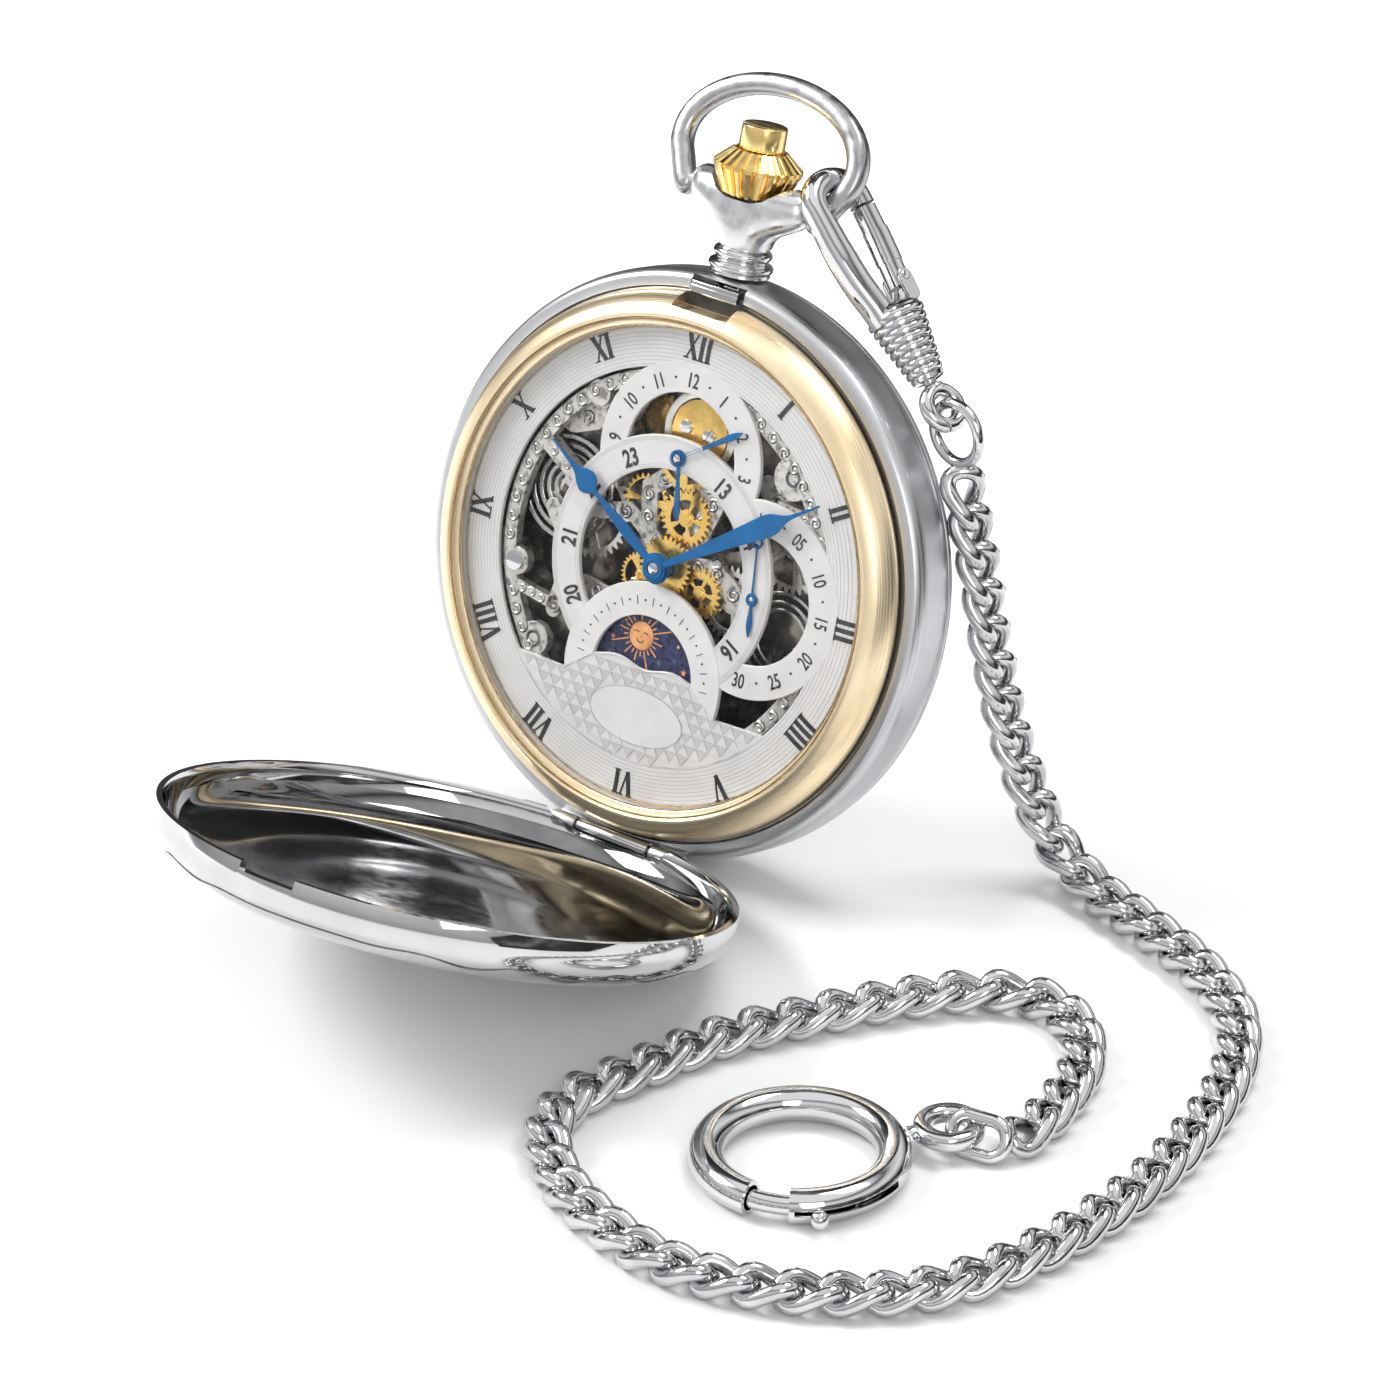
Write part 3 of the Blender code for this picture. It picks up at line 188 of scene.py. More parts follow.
def hoop(inner, outer, low, high, steps, edge=0.0, arcs=2):
    """A ring of rectangular section, or a disc where inner is 0, with its edges rounded."""
    section = [(inner, low), (outer, low), (outer, high), (inner, high)]
    return lathe(section, steps, edge, arcs) if edge else revolve(section, steps)


def outward(mesh):
    """Turns the faces of a closed mesh outward."""
    volume = 0.0
    for face in mesh.polygons:
        first = mesh.vertices[face.vertices[0]].co
        for a, b in zip(face.vertices[1:], face.vertices[2:]):
            volume += first.dot(mesh.vertices[a].co.cross(mesh.vertices[b].co))
    if volume < 0:
        mesh.flip_normals()
    return mesh


def rounded(profile, radius, steps=4, closed=True):
    """A profile with its corners rounded by arcs of about the given radius."""
    result = []
    count = len(profile)
    for i, (x, y) in enumerate(profile):
        if not closed and i in (0, count - 1) or x < 1e-6:
            result.append((x, y))
            continue
        here = Vector((x, y))
        before = Vector(profile[i - 1]) - here
        after = Vector(profile[(i + 1) % count]) - here
        reach = min(radius, before.length * 0.45, after.length * 0.45)
        start = here + before.normalized() * reach
        end = here + after.normalized() * reach
        for k in range(steps + 1):
            t = k / steps
            p = start * (1 - t) ** 2 + here * 2 * t * (1 - t) + end * t * t
            result.append((p.x, p.y))
    return result


def spline(points, count, cyclic=False):
    """count points, evenly spaced, on a Catmull-Rom curve through the given points."""
    points = [Vector(p) for p in points]
    if cyclic:
        padded = [points[-1], *points, points[0], points[1]]
    else:
        padded = [2 * points[0] - points[1], *points, 2 * points[-1] - points[-2]]
    dense = []
    for a, b, c, d in zip(padded, padded[1:], padded[2:], padded[3:]):
        for step in range(24):
            t = step / 24
            linear = (c - a) * t
            square = (2 * a - 5 * b + 4 * c - d) * t * t
            cube = (3 * b - a - 3 * c + d) * t**3
            dense.append(b + (linear + square + cube) / 2)
    dense.append(points[0] if cyclic else points[-1])
    reach = [0.0]
    for before, after in zip(dense, dense[1:]):
        reach.append(reach[-1] + (after - before).length)
    total = count if cyclic else count - 1
    route = []
    at = 0
    for step in range(count):
        wanted = reach[-1] * step / total
        while at < len(dense) - 2 and reach[at + 1] < wanted:
            at += 1
        share = (wanted - reach[at]) / max(reach[at + 1] - reach[at], 1e-9)
        route.append(dense[at].lerp(dense[at + 1], min(share, 1.0)))
    return route


def squared(angle, power):
    """A point on a unit superellipse: a circle at power 2, squarer above it."""
    c, s = math.cos(angle), math.sin(angle)
    return math.copysign(abs(c) ** (2 / power), c), math.copysign(abs(s) ** (2 / power), s)


def tube(points, radius, sides=16, cyclic=False, hint=(0, 0, 1), power=2.0):
    """A swept tube. radius is a number or one per point; a higher power squares its section."""
    points = [Vector(p) for p in points]
    count = len(points)
    radii = radius if isinstance(radius, (list, tuple)) else [radius] * count
    verts = []
    normal = Vector(hint)
    for i, point in enumerate(points):
        after = points[(i + 1) % count] if cyclic else points[min(i + 1, count - 1)]
        before = points[i - 1] if cyclic or i else points[0]
        along = (after - before).normalized()
        normal = normal - normal.dot(along) * along
        normal.normalize()
        side = along.cross(normal)
        for k in range(sides):
            c, s = squared(TAU * k / sides, power)
            verts.append(point + radii[i] * (c * normal + s * side))
    faces = []
    for i in range(count if cyclic else count - 1):
        j = (i + 1) % count
        for k in range(sides):
            m = (k + 1) % sides
            faces.append((i * sides + k, i * sides + m, j * sides + m, j * sides + k))
    if not cyclic:
        faces.append(tuple(range(sides - 1, -1, -1)))
        faces.append(tuple((count - 1) * sides + k for k in range(sides)))
    return outward(new_mesh("tube", verts, faces))


def evaluated(thing):
    """The mesh of an object with its modifiers or its curve settings applied."""
    bpy.context.view_layer.update()
    graph = bpy.context.evaluated_depsgraph_get()
    return bpy.data.meshes.new_from_object(thing.evaluated_get(graph))


def curve_mesh(curve):
    holder = put_in_scene("holder", curve)
    mesh = evaluated(holder)
    bpy.data.objects.remove(holder, do_unlink=True)
    bpy.data.curves.remove(curve)
    return mesh


def slab(loops, low, high, bevel=0.0):
    """A flat outline with holes, between two heights, with its edges rounded by bevel."""
    curve = bpy.data.curves.new("slab", "CURVE")
    curve.dimensions = "2D"
    curve.fill_mode = "BOTH"
    curve.extrude = (high - low) / 2 - bevel
    curve.bevel_depth = bevel
    curve.bevel_resolution = 1
    curve.offset = -bevel
    for loop in loops:
        line = curve.splines.new("POLY")
        line.points.add(len(loop) - 1)
        for target, (x, y) in zip(line.points, loop):
            target.co = (x, y, 0, 1)
        line.use_cyclic_u = True
    return moved(curve_mesh(curve), Matrix.Translation((0, 0, (high + low) / 2)))


DIGIT_TO_FONT_SIZE = 1.37


def words(text, height, low, high, squeeze=0.8, bold=0.0):
    """Digits, centred on the origin, with their tops towards +Y."""
    curve = bpy.data.curves.new("words", "FONT")
    curve.body = text
    curve.size = height * DIGIT_TO_FONT_SIZE
    curve.align_x = "CENTER"
    curve.extrude = (high - low) / 2
    curve.offset = bold
    curve.resolution_u = 6
    mesh = curve_mesh(curve)
    lift = Matrix.Translation((0, -height / 2, (low + high) / 2))
    return moved(mesh, Matrix.Diagonal((squeeze, 1, 1, 1)) @ lift)


def turn_z(angle):
    return Matrix.Rotation(angle, 4, "Z")


def shift(x, y, z=0.0):
    return Matrix.Translation((x, y, z))


def circle(radius, count=48, centre=(0, 0)):
    return arc(radius, 0.0, TAU, count, centre)[:-1]


def arc(radius, start, end, count, centre=(0, 0)):
    angles = [start + (end - start) * i / count for i in range(count + 1)]
    return [(centre[0] + radius * math.cos(a), centre[1] + radius * math.sin(a)) for a in angles]


def block(low, high):
    corners = [(low[0], low[1]), (high[0], low[1]), (high[0], high[1]), (low[0], high[1])]
    points = [(x, y, z) for z in (low[2], high[2]) for x, y in corners]
    return new_mesh("block", points, BOX_FACES)


def clock(angle_deg, radius, centre=(0, 0)):
    """The point at an angle clockwise from XII."""
    a = math.radians(angle_deg)
    return (centre[0] + radius * math.sin(a), centre[1] + radius * math.cos(a))


def solid_boolean(target, tools, operation="DIFFERENCE"):
    """An EXACT Boolean on meshes, used for the few shapes that need one."""
    base = put_in_scene("base", target)
    helpers = []
    for mesh in tools:
        helper = put_in_scene("tool", mesh)
        boolean = base.modifiers.new("cut_and_painted_shadow", "BOOLEAN")
        boolean.operation = operation
        boolean.solver = "EXACT"
        boolean.object = helper
        helpers.append(helper)
    mesh = evaluated(base)
    for helper in (base, *helpers):
        bpy.data.objects.remove(helper, do_unlink=True)
    return mesh


ALONG_Y = Matrix.Rotation(-math.pi / 2, 4, "X")
ALONG_X = Matrix.Rotation(math.pi / 2, 4, "Y")
STEM_Z = -4.5
HINGE_Y, HINGE_Z = -25.45, -0.45
STEM = shift(0, 0, STEM_Z) @ ALONG_Y
HINGE = shift(0, HINGE_Y, HINGE_Z) @ ALONG_X
BOX_FACES = [(3, 2, 1, 0), (4, 5, 6, 7), (0, 1, 5, 4), (1, 2, 6, 5), (2, 3, 7, 6), (3, 0, 4, 7)]


# --- materials -----------------------------------------------------------------------------------
class Tree:
    """A short way to wire a node tree: inputs may be values or the outputs of other nodes."""

    def __init__(self, owner):
        owner.use_nodes = True
        self.tree = owner.node_tree

    def add(self, kind, inputs=None, **settings):
        node = self.tree.nodes.new("ShaderNode" + kind)
        for key, value in settings.items():
            setattr(node, key, value)
        for key, value in (inputs or {}).items():
            if isinstance(value, bpy.types.NodeSocket):
                self.link(value, node.inputs[key])
            else:
                node.inputs[key].default_value = value
        return node

    def link(self, a, b):
        self.tree.links.new(a, b)

    def range(self, value, low, high, from_low=0.3, from_high=0.7):
        spans = {"From Min": from_low, "From Max": from_high, "To Min": low, "To Max": high}
        return self.add("MapRange", {"Value": value, **spans}).outputs["Result"]

    def ramp(self, value, stops):
        node = self.add("ValToRGB", {"Fac": value})
        elements = node.color_ramp.elements
        while len(elements) < len(stops):
            elements.new(0.5)
        for element, (at, colour) in zip(elements, stops):
            element.position = at
            element.color = (*colour, 1)
        return node.outputs["Color"]


class Nodes(Tree):
    """A new material, its patterns and its Principled shader."""

    def __init__(self, name):
        self.material = bpy.data.materials.new(name)
        super().__init__(self.material)
        self.shader = self.tree.nodes["Principled BSDF"]
        self.coords = self.add("TexCoord").outputs["Object"]

    def on_dial(self):
        """Coordinates in the case frame, metres."""
        inputs = {"Location": CASE.translation, "Rotation": CASE.to_euler(), "Vector": self.coords}
        return self.add("Mapping", inputs, vector_type="TEXTURE").outputs["Vector"]

    def noise(self, scale, detail=3.0, vector=None):
        inputs = {"Scale": scale, "Detail": detail, "Vector": vector or self.coords}
        return self.add("TexNoise", inputs).outputs["Fac"]

    def rings(self, scale, vector, distortion=0.0):
        inputs = {"Scale": scale, "Distortion": distortion, "Vector": vector}
        return self.add("TexWave", inputs, wave_type="RINGS", rings_direction="Z").outputs["Fac"]

    def colour(self, value, stops):
        self.link(self.ramp(value, stops), self.shader.inputs["Base Color"])

    def tones(self, value, dark, light):
        self.colour(value, [(0.3, dark), (0.7, light)])

    def gloss(self, value, *span):
        self.link(self.range(value, *span), self.shader.inputs["Roughness"])

    def bump(self, height, strength, distance=0.00005):
        node = self.add("Bump", {"Strength": strength, "Distance": distance, "Height": height})
        self.link(node.outputs["Normal"], self.shader.inputs["Normal"])

    def set(self, **values):
        for key, value in values.items():
            self.shader.inputs[key.replace("_", " ")].default_value = value


def metal(name, light, dark, roughness, bump=0.03):
    """Polished or satin metal: two close tones, uneven gloss and a very fine grain."""
    nodes = Nodes(name)
    cloud = nodes.noise(260.0, 4.0)
    fine = nodes.noise(900.0, 2.0)
    nodes.tones(cloud, dark, light)
    nodes.gloss(fine, roughness * 0.65, roughness * 1.35)
    nodes.bump(fine, bump)
    nodes.set(Metallic=1.0)
    return nodes.material


def turned_metal(name, light, dark, roughness):
    """Metal with the fine circular lines of a lathe, round the watch's own axis."""
    nodes = Nodes(name)
    local = nodes.on_dial()
    lines = nodes.rings(2200.0, local, 0.6)
    cloud = nodes.noise(150.0, 4.0, local)
    nodes.tones(cloud, dark, light)
    nodes.gloss(lines, roughness * 0.8, roughness * 1.25, 0.0, 1.0)
    nodes.bump(lines, 0.12, 0.00002)
    nodes.set(Metallic=1.0)
    return nodes.material


def make_silvered(name, tone, lines=False):
    nodes = Nodes(name)
    local = nodes.on_dial()
    cloud = nodes.noise(420.0, 5.0, local)
    dark, light = [(level, level * 0.978, level * 0.958) for level in (tone * 0.94, tone * 1.04)]
    nodes.colour(cloud, [(0.25, dark), (0.75, light)])
    nodes.gloss(cloud, 0.34, 0.5)
    if lines:
        nodes.bump(nodes.rings(1400.0, local), 0.10, 0.00003)
    nodes.set(Metallic=0.15, Specular_IOR_Level=0.3)
    return nodes.material


def make_blue():
    nodes = Nodes("blued_steel_look")
    cloud = nodes.noise(700.0, 3.0)
    nodes.tones(cloud, (0.0, 0.075, 0.22), (0.0, 0.115, 0.31))
    nodes.gloss(cloud, 0.38, 0.5)
    nodes.bump(nodes.noise(2500.0), 0.05)
    nodes.set(Metallic=0.3, Specular_IOR_Level=0.3)
    return nodes.material


# Black ink for the dial's print, also used as painted shade on the floor of the catch's pocket.
def make_print():
    nodes = Nodes("dial_print_and_painted_shade")
    cloud = nodes.noise(1500.0)
    nodes.tones(cloud, (0.008, 0.008, 0.009), (0.03, 0.03, 0.032))
    nodes.gloss(cloud, 0.35, 0.55)
    return nodes.material


def make_sky():
    """Night enamel with a fine dusting of paler specks."""
    nodes = Nodes("night_enamel")
    specks = nodes.noise(1900.0, 1.0)
    nodes.colour(
        specks, [(0.45, (0.008, 0.010, 0.045)), (0.66, (0.02, 0.025, 0.09)), (0.74, (0.06, 0.11, 0.16))],
    )
    nodes.gloss(specks, 0.25, 0.4)
    return nodes.material


def make_copper_paint():
    nodes = Nodes("sun_copper")
    cloud = nodes.noise(1300.0, 3.0)
    nodes.tones(cloud, (0.62, 0.27, 0.10), (0.85, 0.42, 0.18))
    nodes.gloss(cloud, 0.35, 0.5)
    nodes.set(Metallic=0.3)
    return nodes.material


def make_engraved_ground():
    """Warm silver, stippled between the scrolls."""
    nodes = Nodes("engraved_ground")
    stipple_and_painted_shadows = nodes.noise(1500.0, 2.0)
    tones = [(0.34, (0.24, 0.23, 0.215)), (0.46, (0.56, 0.54, 0.51)), (0.70, (0.68, 0.66, 0.625))]
    nodes.colour(stipple_and_painted_shadows, tones)
    nodes.gloss(stipple_and_painted_shadows, 0.5, 0.3)
    nodes.bump(stipple_and_painted_shadows, 0.5, 0.00008)
    nodes.set(Metallic=0.85)
    return nodes.material


def make_depth():
    """Painted shade: the dark deep in the movement, seen through its openings, with a few paler patches."""
    nodes = Nodes("movement_shade")
    cloud = nodes.noise(330.0, 6.0)
    nodes.colour(
        cloud, [(0.38, (0.012, 0.011, 0.010)), (0.50, (0.07, 0.06, 0.05)), (0.62, (0.42, 0.37, 0.32))],
    )
    nodes.gloss(cloud, 0.2, 0.5)
    nodes.bump(nodes.noise(900.0, 4.0), 0.3)
    nodes.set(Metallic=0.9)
    return nodes.material


def make_glass():
    """Clear crystal that lets the studio light through to the dial."""
    nodes = Nodes("watch_crystal")
    nodes.set(Transmission_Weight=1.0, IOR=1.2, Metallic=0.0)
    dust = nodes.noise(2000.0, 2.0)
    nodes.gloss(dust, 0.0, 0.012, 0.55, 0.9)
    tint = nodes.noise(60.0, 2.0)
    nodes.tones(tint, (0.985, 0.99, 0.995), (1.0, 1.0, 1.0))
    shadow = nodes.add("LightPath").outputs["Is Shadow Ray"]
    clear = nodes.add("BsdfTransparent").outputs["BSDF"]
    mix = nodes.add("MixShader", {0: shadow, 1: nodes.shader.outputs["BSDF"], 2: clear})
    nodes.link(mix.outputs["Shader"], nodes.tree.nodes["Material Output"].inputs["Surface"])
    return nodes.material


POLISHED = metal("polished_silver", (0.66, 0.66, 0.67), (0.59, 0.595, 0.605), 0.08)
MIRROR = metal("mirror_silver", (0.60, 0.60, 0.61), (0.53, 0.535, 0.545), 0.05, bump=0.015)
# A darker copy of the mirror silver: painted reflection of dark surroundings, for the inside of the cover.
DARK_PAINTED_REFLECTION = metal("cover_inside_painted_reflection", (0.27, 0.27, 0.275), (0.17, 0.17, 0.175), 0.05, bump=0.015)
CHAIN_SILVER = metal("chain_silver", (0.64, 0.64, 0.65), (0.48, 0.485, 0.495), 0.12)
SATIN = metal("satin_silver_look", (0.62, 0.62, 0.64), (0.54, 0.545, 0.56), 0.26, bump=0.06)
BOW_SATIN = metal("brushed_bow", (0.46, 0.46, 0.47), (0.41, 0.412, 0.42), 0.30, bump=0.03)
YOKE_SATIN = metal("brushed_yoke", (0.70, 0.70, 0.71), (0.66, 0.665, 0.675), 0.28, bump=0.02)
CASE_BAND = turned_metal("case_band", (0.62, 0.625, 0.64), (0.55, 0.555, 0.57), 0.34)
GOLD_SATIN = turned_metal("satin_gold", (0.95, 0.80, 0.56), (0.90, 0.72, 0.46), 0.34)
SEAT_GOLD = metal("seat_gold", (0.50, 0.36, 0.20), (0.38, 0.26, 0.13), 0.3)
GOLD = metal("polished_gold", (1.0, 0.76, 0.33), (0.95, 0.64, 0.22), 0.2, bump=0.05)
BRASS = metal("gilt_brass", (0.94, 0.64, 0.20), (0.84, 0.52, 0.13), 0.25, bump=0.08)
ENGRAVED = metal("engraved_silver", (0.76, 0.74, 0.70), (0.62, 0.60, 0.56), 0.30, bump=0.10)
ENGRAVED_GROUND = make_engraved_ground()
STEEL = metal("grey_steel", (0.55, 0.54, 0.53), (0.36, 0.35, 0.34), 0.25, bump=0.08)
# Dark steel. The same look is also painted shade in the gap round the bezel, and painted shadow round the engraved
# scrolls.
DARK_STEEL_AND_PAINTED_SHADE = metal("dark_steel_and_painted_shade", (0.20, 0.20, 0.21), (0.11, 0.11, 0.12), 0.3, bump=0.06)
SILVERED = make_silvered("silvered_rings", 0.56, lines=True)
SILVERED_PLAIN = make_silvered("silvered_plain", 0.59)
SILVERED_SHADE = make_silvered("silvered_shade", 0.38)
# A darker copy of the silvered look: painted shade on one set of guilloché triangles.
GUILLOCHE_PAINTED_SHADE = make_silvered("guilloche_painted_shade", 0.46)
BLUE = make_blue()
PRINT_AND_PAINTED_SHADE = make_print()
SKY = make_sky()
COPPER = make_copper_paint()
DEPTH_PAINTED_SHADE = make_depth()
GLASS = make_glass()

# Every look by its material slot. The first of a slot is also the look of the CAD nodes in it.
LOOKS = {
    "silver": (POLISHED, MIRROR, DARK_PAINTED_REFLECTION, CHAIN_SILVER, BOW_SATIN, YOKE_SATIN, CASE_BAND),
    "satin_silver": (SATIN,),
    "gold": (GOLD, GOLD_SATIN, SEAT_GOLD, COPPER),
    "brass": (BRASS,),
    "silvered_dial": (SILVERED, SILVERED_PLAIN, SILVERED_SHADE, GUILLOCHE_PAINTED_SHADE, PRINT_AND_PAINTED_SHADE),
    "engraved_steel": (ENGRAVED, ENGRAVED_GROUND),
    "dark_steel": (DARK_STEEL_AND_PAINTED_SHADE, STEEL, DEPTH_PAINTED_SHADE),
    "blued_steel": (BLUE,),
    "navy_enamel": (SKY,),
    "crystal": (GLASS,),
}


def repaint_cad():
    """Every CAD node gets a procedural material, including the ones that pieces stand in for."""
    for part in frame["record"]["subparts"]:
        node = frame["nodes"][part["node"]]
        node.data.materials.clear()
        node.data.materials.append(LOOKS[part["material_slot"]][0])


repaint_cad()


# --- chain -----------------------------------------------------------------------------------------
LINK_HALF_LENGTH = 2.48
LINK_HALF_WIDTH = 1.45
LINK_TWIST = -0.78
LINK_WIRE_R = 0.73
LINK_PITCH = 3.62
CHAIN_ROUTE = [
    (24.5, 29.0, 39.0), (25.6, 29.2, 34.0), (26.5, 29.5, 29.0), (27.4, 30.0, 22.5), (28.6, 31.0, 15.0),
    (30.6, 31.9, 8.4), (33.4, 32.3, 3.6), (38.5, 30.8, 1.7), (45.5, 28.4, 1.5), (53.5, 25.0, 1.5),
    (60.4, 19.8, 1.5), (64.6, 12.6, 1.5), (67.2, 3.4, 1.5), (68.3, -7.0, 1.5), (67.2, -18.5, 1.5),
    (64.0, -28.0, 1.5), (58.4, -34.0, 1.5), (51.0, -37.8, 1.5), (42.8, -39.1, 1.5), (35.0, -37.4, 1.5),
    (28.6, -34.2, 1.5), (23.8, -29.2, 1.5), (22.5, -23.4, 1.5), (24.2, -16.6, 1.5), (26.4, -9.2, 1.5),
    (30.0, -2.4, 1.5), (35.0, 5.2, 1.5), (40.2, 10.8, 1.5), (45.2, 12.6, 1.5), (50.4, 10.4, 1.5),
    (54.2, 5.0, 1.5), (55.9, -2.0, 1.5), (56.0, -6.9, 1.5),
]


def link_mesh():
    """One curb link: an oval of round wire, twisted about its length."""
    points = []
    for x, y in circle(1.0, 26):
        points.append((LINK_HALF_LENGTH * x, LINK_HALF_WIDTH * y, LINK_TWIST * 2 * x * y))
    return tube(points, LINK_WIRE_R, 10, cyclic=True)


def make_chain():
    """Even links along the route, in place of the cord that they stand for."""
    offset = Vector((0, GROUND_Y, 0))
    rough = spline([Vector(p) + offset for p in CHAIN_ROUTE], 400)
    length = sum((b - a).length for a, b in zip(rough, rough[1:]))
    count = round(length / LINK_PITCH)
    stops = spline(rough, 2 * count + 1)
    up = Vector((0, 0, 1))
    frames = []
    for i in range(2 * count - 1, 0, -2):
        along = (stops[i + 1] - stops[i - 1]).normalized()
        up = (up - up.dot(along) * along).normalized()
        turn = Matrix((along, up.cross(along), up)).transposed().to_4x4()
        frames.append(Matrix.Translation(stops[i]) @ turn)
    master = link_mesh()
    meshes = []
    for matrix in reversed(frames):
        copy = master.copy()
        copy.transform(matrix)
        meshes.append(copy)
    chain = place(
        "curb_chain_links", merged(meshes), CHAIN_SILVER, replaces=["curb_chain"], sharp=60, at=WORLD,
    )


# --- studio ----------------------------------------------------------------------------------------
def make_floor():
    mesh = new_mesh("floor", [(-3, -3, 0), (3, -3, 0), (3, 3, 0), (-3, 3, 0)], [(0, 1, 2, 3)])
    floor = put_in_scene("floor", mesh)
    nodes = Nodes("studio_floor")
    nodes.tones(nodes.noise(8.0, 2.0), (0.93, 0.93, 0.93), (0.95, 0.95, 0.95))
    nodes.set(Roughness=0.7, Specular_IOR_Level=0.1)
    mesh.materials.append(nodes.material)
    floor.location.z = -0.00005


def make_light(name, place_at, aim, size, watts):
    data = bpy.data.lights.new(name, "AREA")
    data.shape = "RECTANGLE"
    data.size = size[0]
    data.size_y = size[1]
    data.energy = watts
    light = put_in_scene(name, data)
    light.location = place_at
    light.rotation_mode = "QUATERNION"
    light.rotation_quaternion = (Vector(place_at) - Vector(aim)).to_track_quat("Z", "Y")


# Brightness by height: 0 straight down, 0.5 at the horizon, 1 straight up.
BACK_BANDS = [
    (0.0, 0.6), (0.49, 0.35), (0.52, 0.02), (0.60, 0.03), (0.66, 0.45), (0.74, 1.05), (0.82, 0.75),
    (0.86, 0.12), (0.92, 1.1),
]
FRONT_BANDS = [
    (0.0, 0.6), (0.49, 0.62), (0.52, 0.5), (0.60, 0.6), (0.66, 0.7), (0.74, 1.0), (0.82, 0.75), (0.86, 0.2),
    (0.92, 1.1),
]


def make_world():
    """Even white for the scene, with darker bands that only reflections see."""
    world = bpy.data.worlds.new("studio")
    bpy.context.scene.world = world
    sky = Tree(world)
    towards = sky.add("SeparateXYZ", {"Vector": sky.add("TexCoord").outputs["Generated"]})
    height = sky.range(towards.outputs["Z"], 0.0, 1.0, -1.0, 1.0)
    behind = sky.range(towards.outputs["Y"], 0.0, 1.0, -0.55, 0.15)
    front, back = [
        sky.ramp(height, [(at, (level, level, level * 1.01)) for at, level in bands])
        for bands in (FRONT_BANDS, BACK_BANDS)
    ]
    around = sky.add("Mix", {0: behind, 6: front, 7: back}, data_type="RGBA").outputs[2]
    mirrored = sky.add("LightPath").outputs["Is Glossy Ray"]
    light = sky.add("Mix", {0: mirrored, 6: (0.56, 0.56, 0.57, 1), 7: around}, data_type="RGBA")
    sky.link(light.outputs[2], sky.tree.nodes["Background"].inputs["Color"])


def make_flag(name, low, high):
    """A black card that only reflections see."""
    mesh = block(low, high)
    card = put_in_scene(name, mesh)
    nodes = Nodes(name)
    tones = [(0.36, (0.010, 0.010, 0.010)), (0.55, (0.05, 0.05, 0.052)), (0.66, (0.22, 0.22, 0.225))]
    nodes.colour(nodes.noise(14.0, 3.0), tones)
    nodes.set(Roughness=0.9, Specular_IOR_Level=0.0)
    mesh.materials.append(nodes.material)
    for ray in ("camera", "diffuse", "shadow", "transmission"):
        setattr(card, "visible_" + ray, False)


def make_studio():
    make_floor()
    make_world()
    make_light("key", (-0.66, -0.24, 0.62), (0.01, 0, 0.02), (0.40, 0.32), 6.6)
    make_light("fill", (0.65, -0.55, 0.5), (0.01, 0, 0.02), (0.35, 0.5), 1.7)
    make_light("top", (0.05, 0.35, 0.8), (0.01, 0, 0.02), (0.6, 0.25), 3.7)
    make_flag("flag_behind", (-0.50, 0.075, 0.0005), (0.02, 0.077, 0.40))
    make_flag("flag_right", (0.16, -0.12, 0.0005), (0.162, 0.14, 0.05))


make_studio()


# --- case ----------------------------------------------------------------------------------------
def make_case():
    profile = [
        (24.9, -1.5), (25.85, -1.5), (26.25, -1.85), (26.5, -2.7), (26.5, -5.2), (26.3, -6.5),
        (22.0, -6.5), (22.0, -1.75), (24.9, -1.75),
    ]
    band = lathe(profile, 240, 0.5, 3)
    bore = moved(hoop(0, 1.8, 20, 28, 40), STEM)
    pocket = block((-2.9, 24.3, -3.2), (2.9, 26.05, -1.0))
    band = solid_boolean(band, [bore, pocket])
    meshes = [band]
    for side in (-1, 1):
        inner, outer = sorted((side * 4.2, side * 7.0))
        meshes.append(moved(hoop(0.41, 0.75, inner, outer, 40, 0.12), HINGE))
        meshes.append(block((inner, -25.85, -2.0), (outer, -25.05, -0.75)))
    place("case_band_ring", merged(meshes), CASE_BAND, replaces=["case_middle"])

    back = [
        (0, -10.4), (10.0, -10.2), (18.0, -9.6), (23.6, -8.6), (25.2, -7.4), (25.25, -6.8), (26.15, -6.8),
        (26.1, -7.3), (25.4, -8.35), (23.0, -9.4), (17.0, -10.35), (10.0, -10.85), (3.0, -11.0), (0, -11.0),
    ]
    place("back_dome", lathe(back, 200, 0.9, 4), CASE_BAND, replaces=["back_cover"])
    groove = hoop(24.75, 24.92, -2.2, -1.6, 160, 0.05, 1)
    groove = solid_boolean(groove, [block((-2.9, 24.0, -3.2), (2.9, 26.0, -1.0))])
    place("bezel_shadow_gap", groove, DARK_STEEL_AND_PAINTED_SHADE)


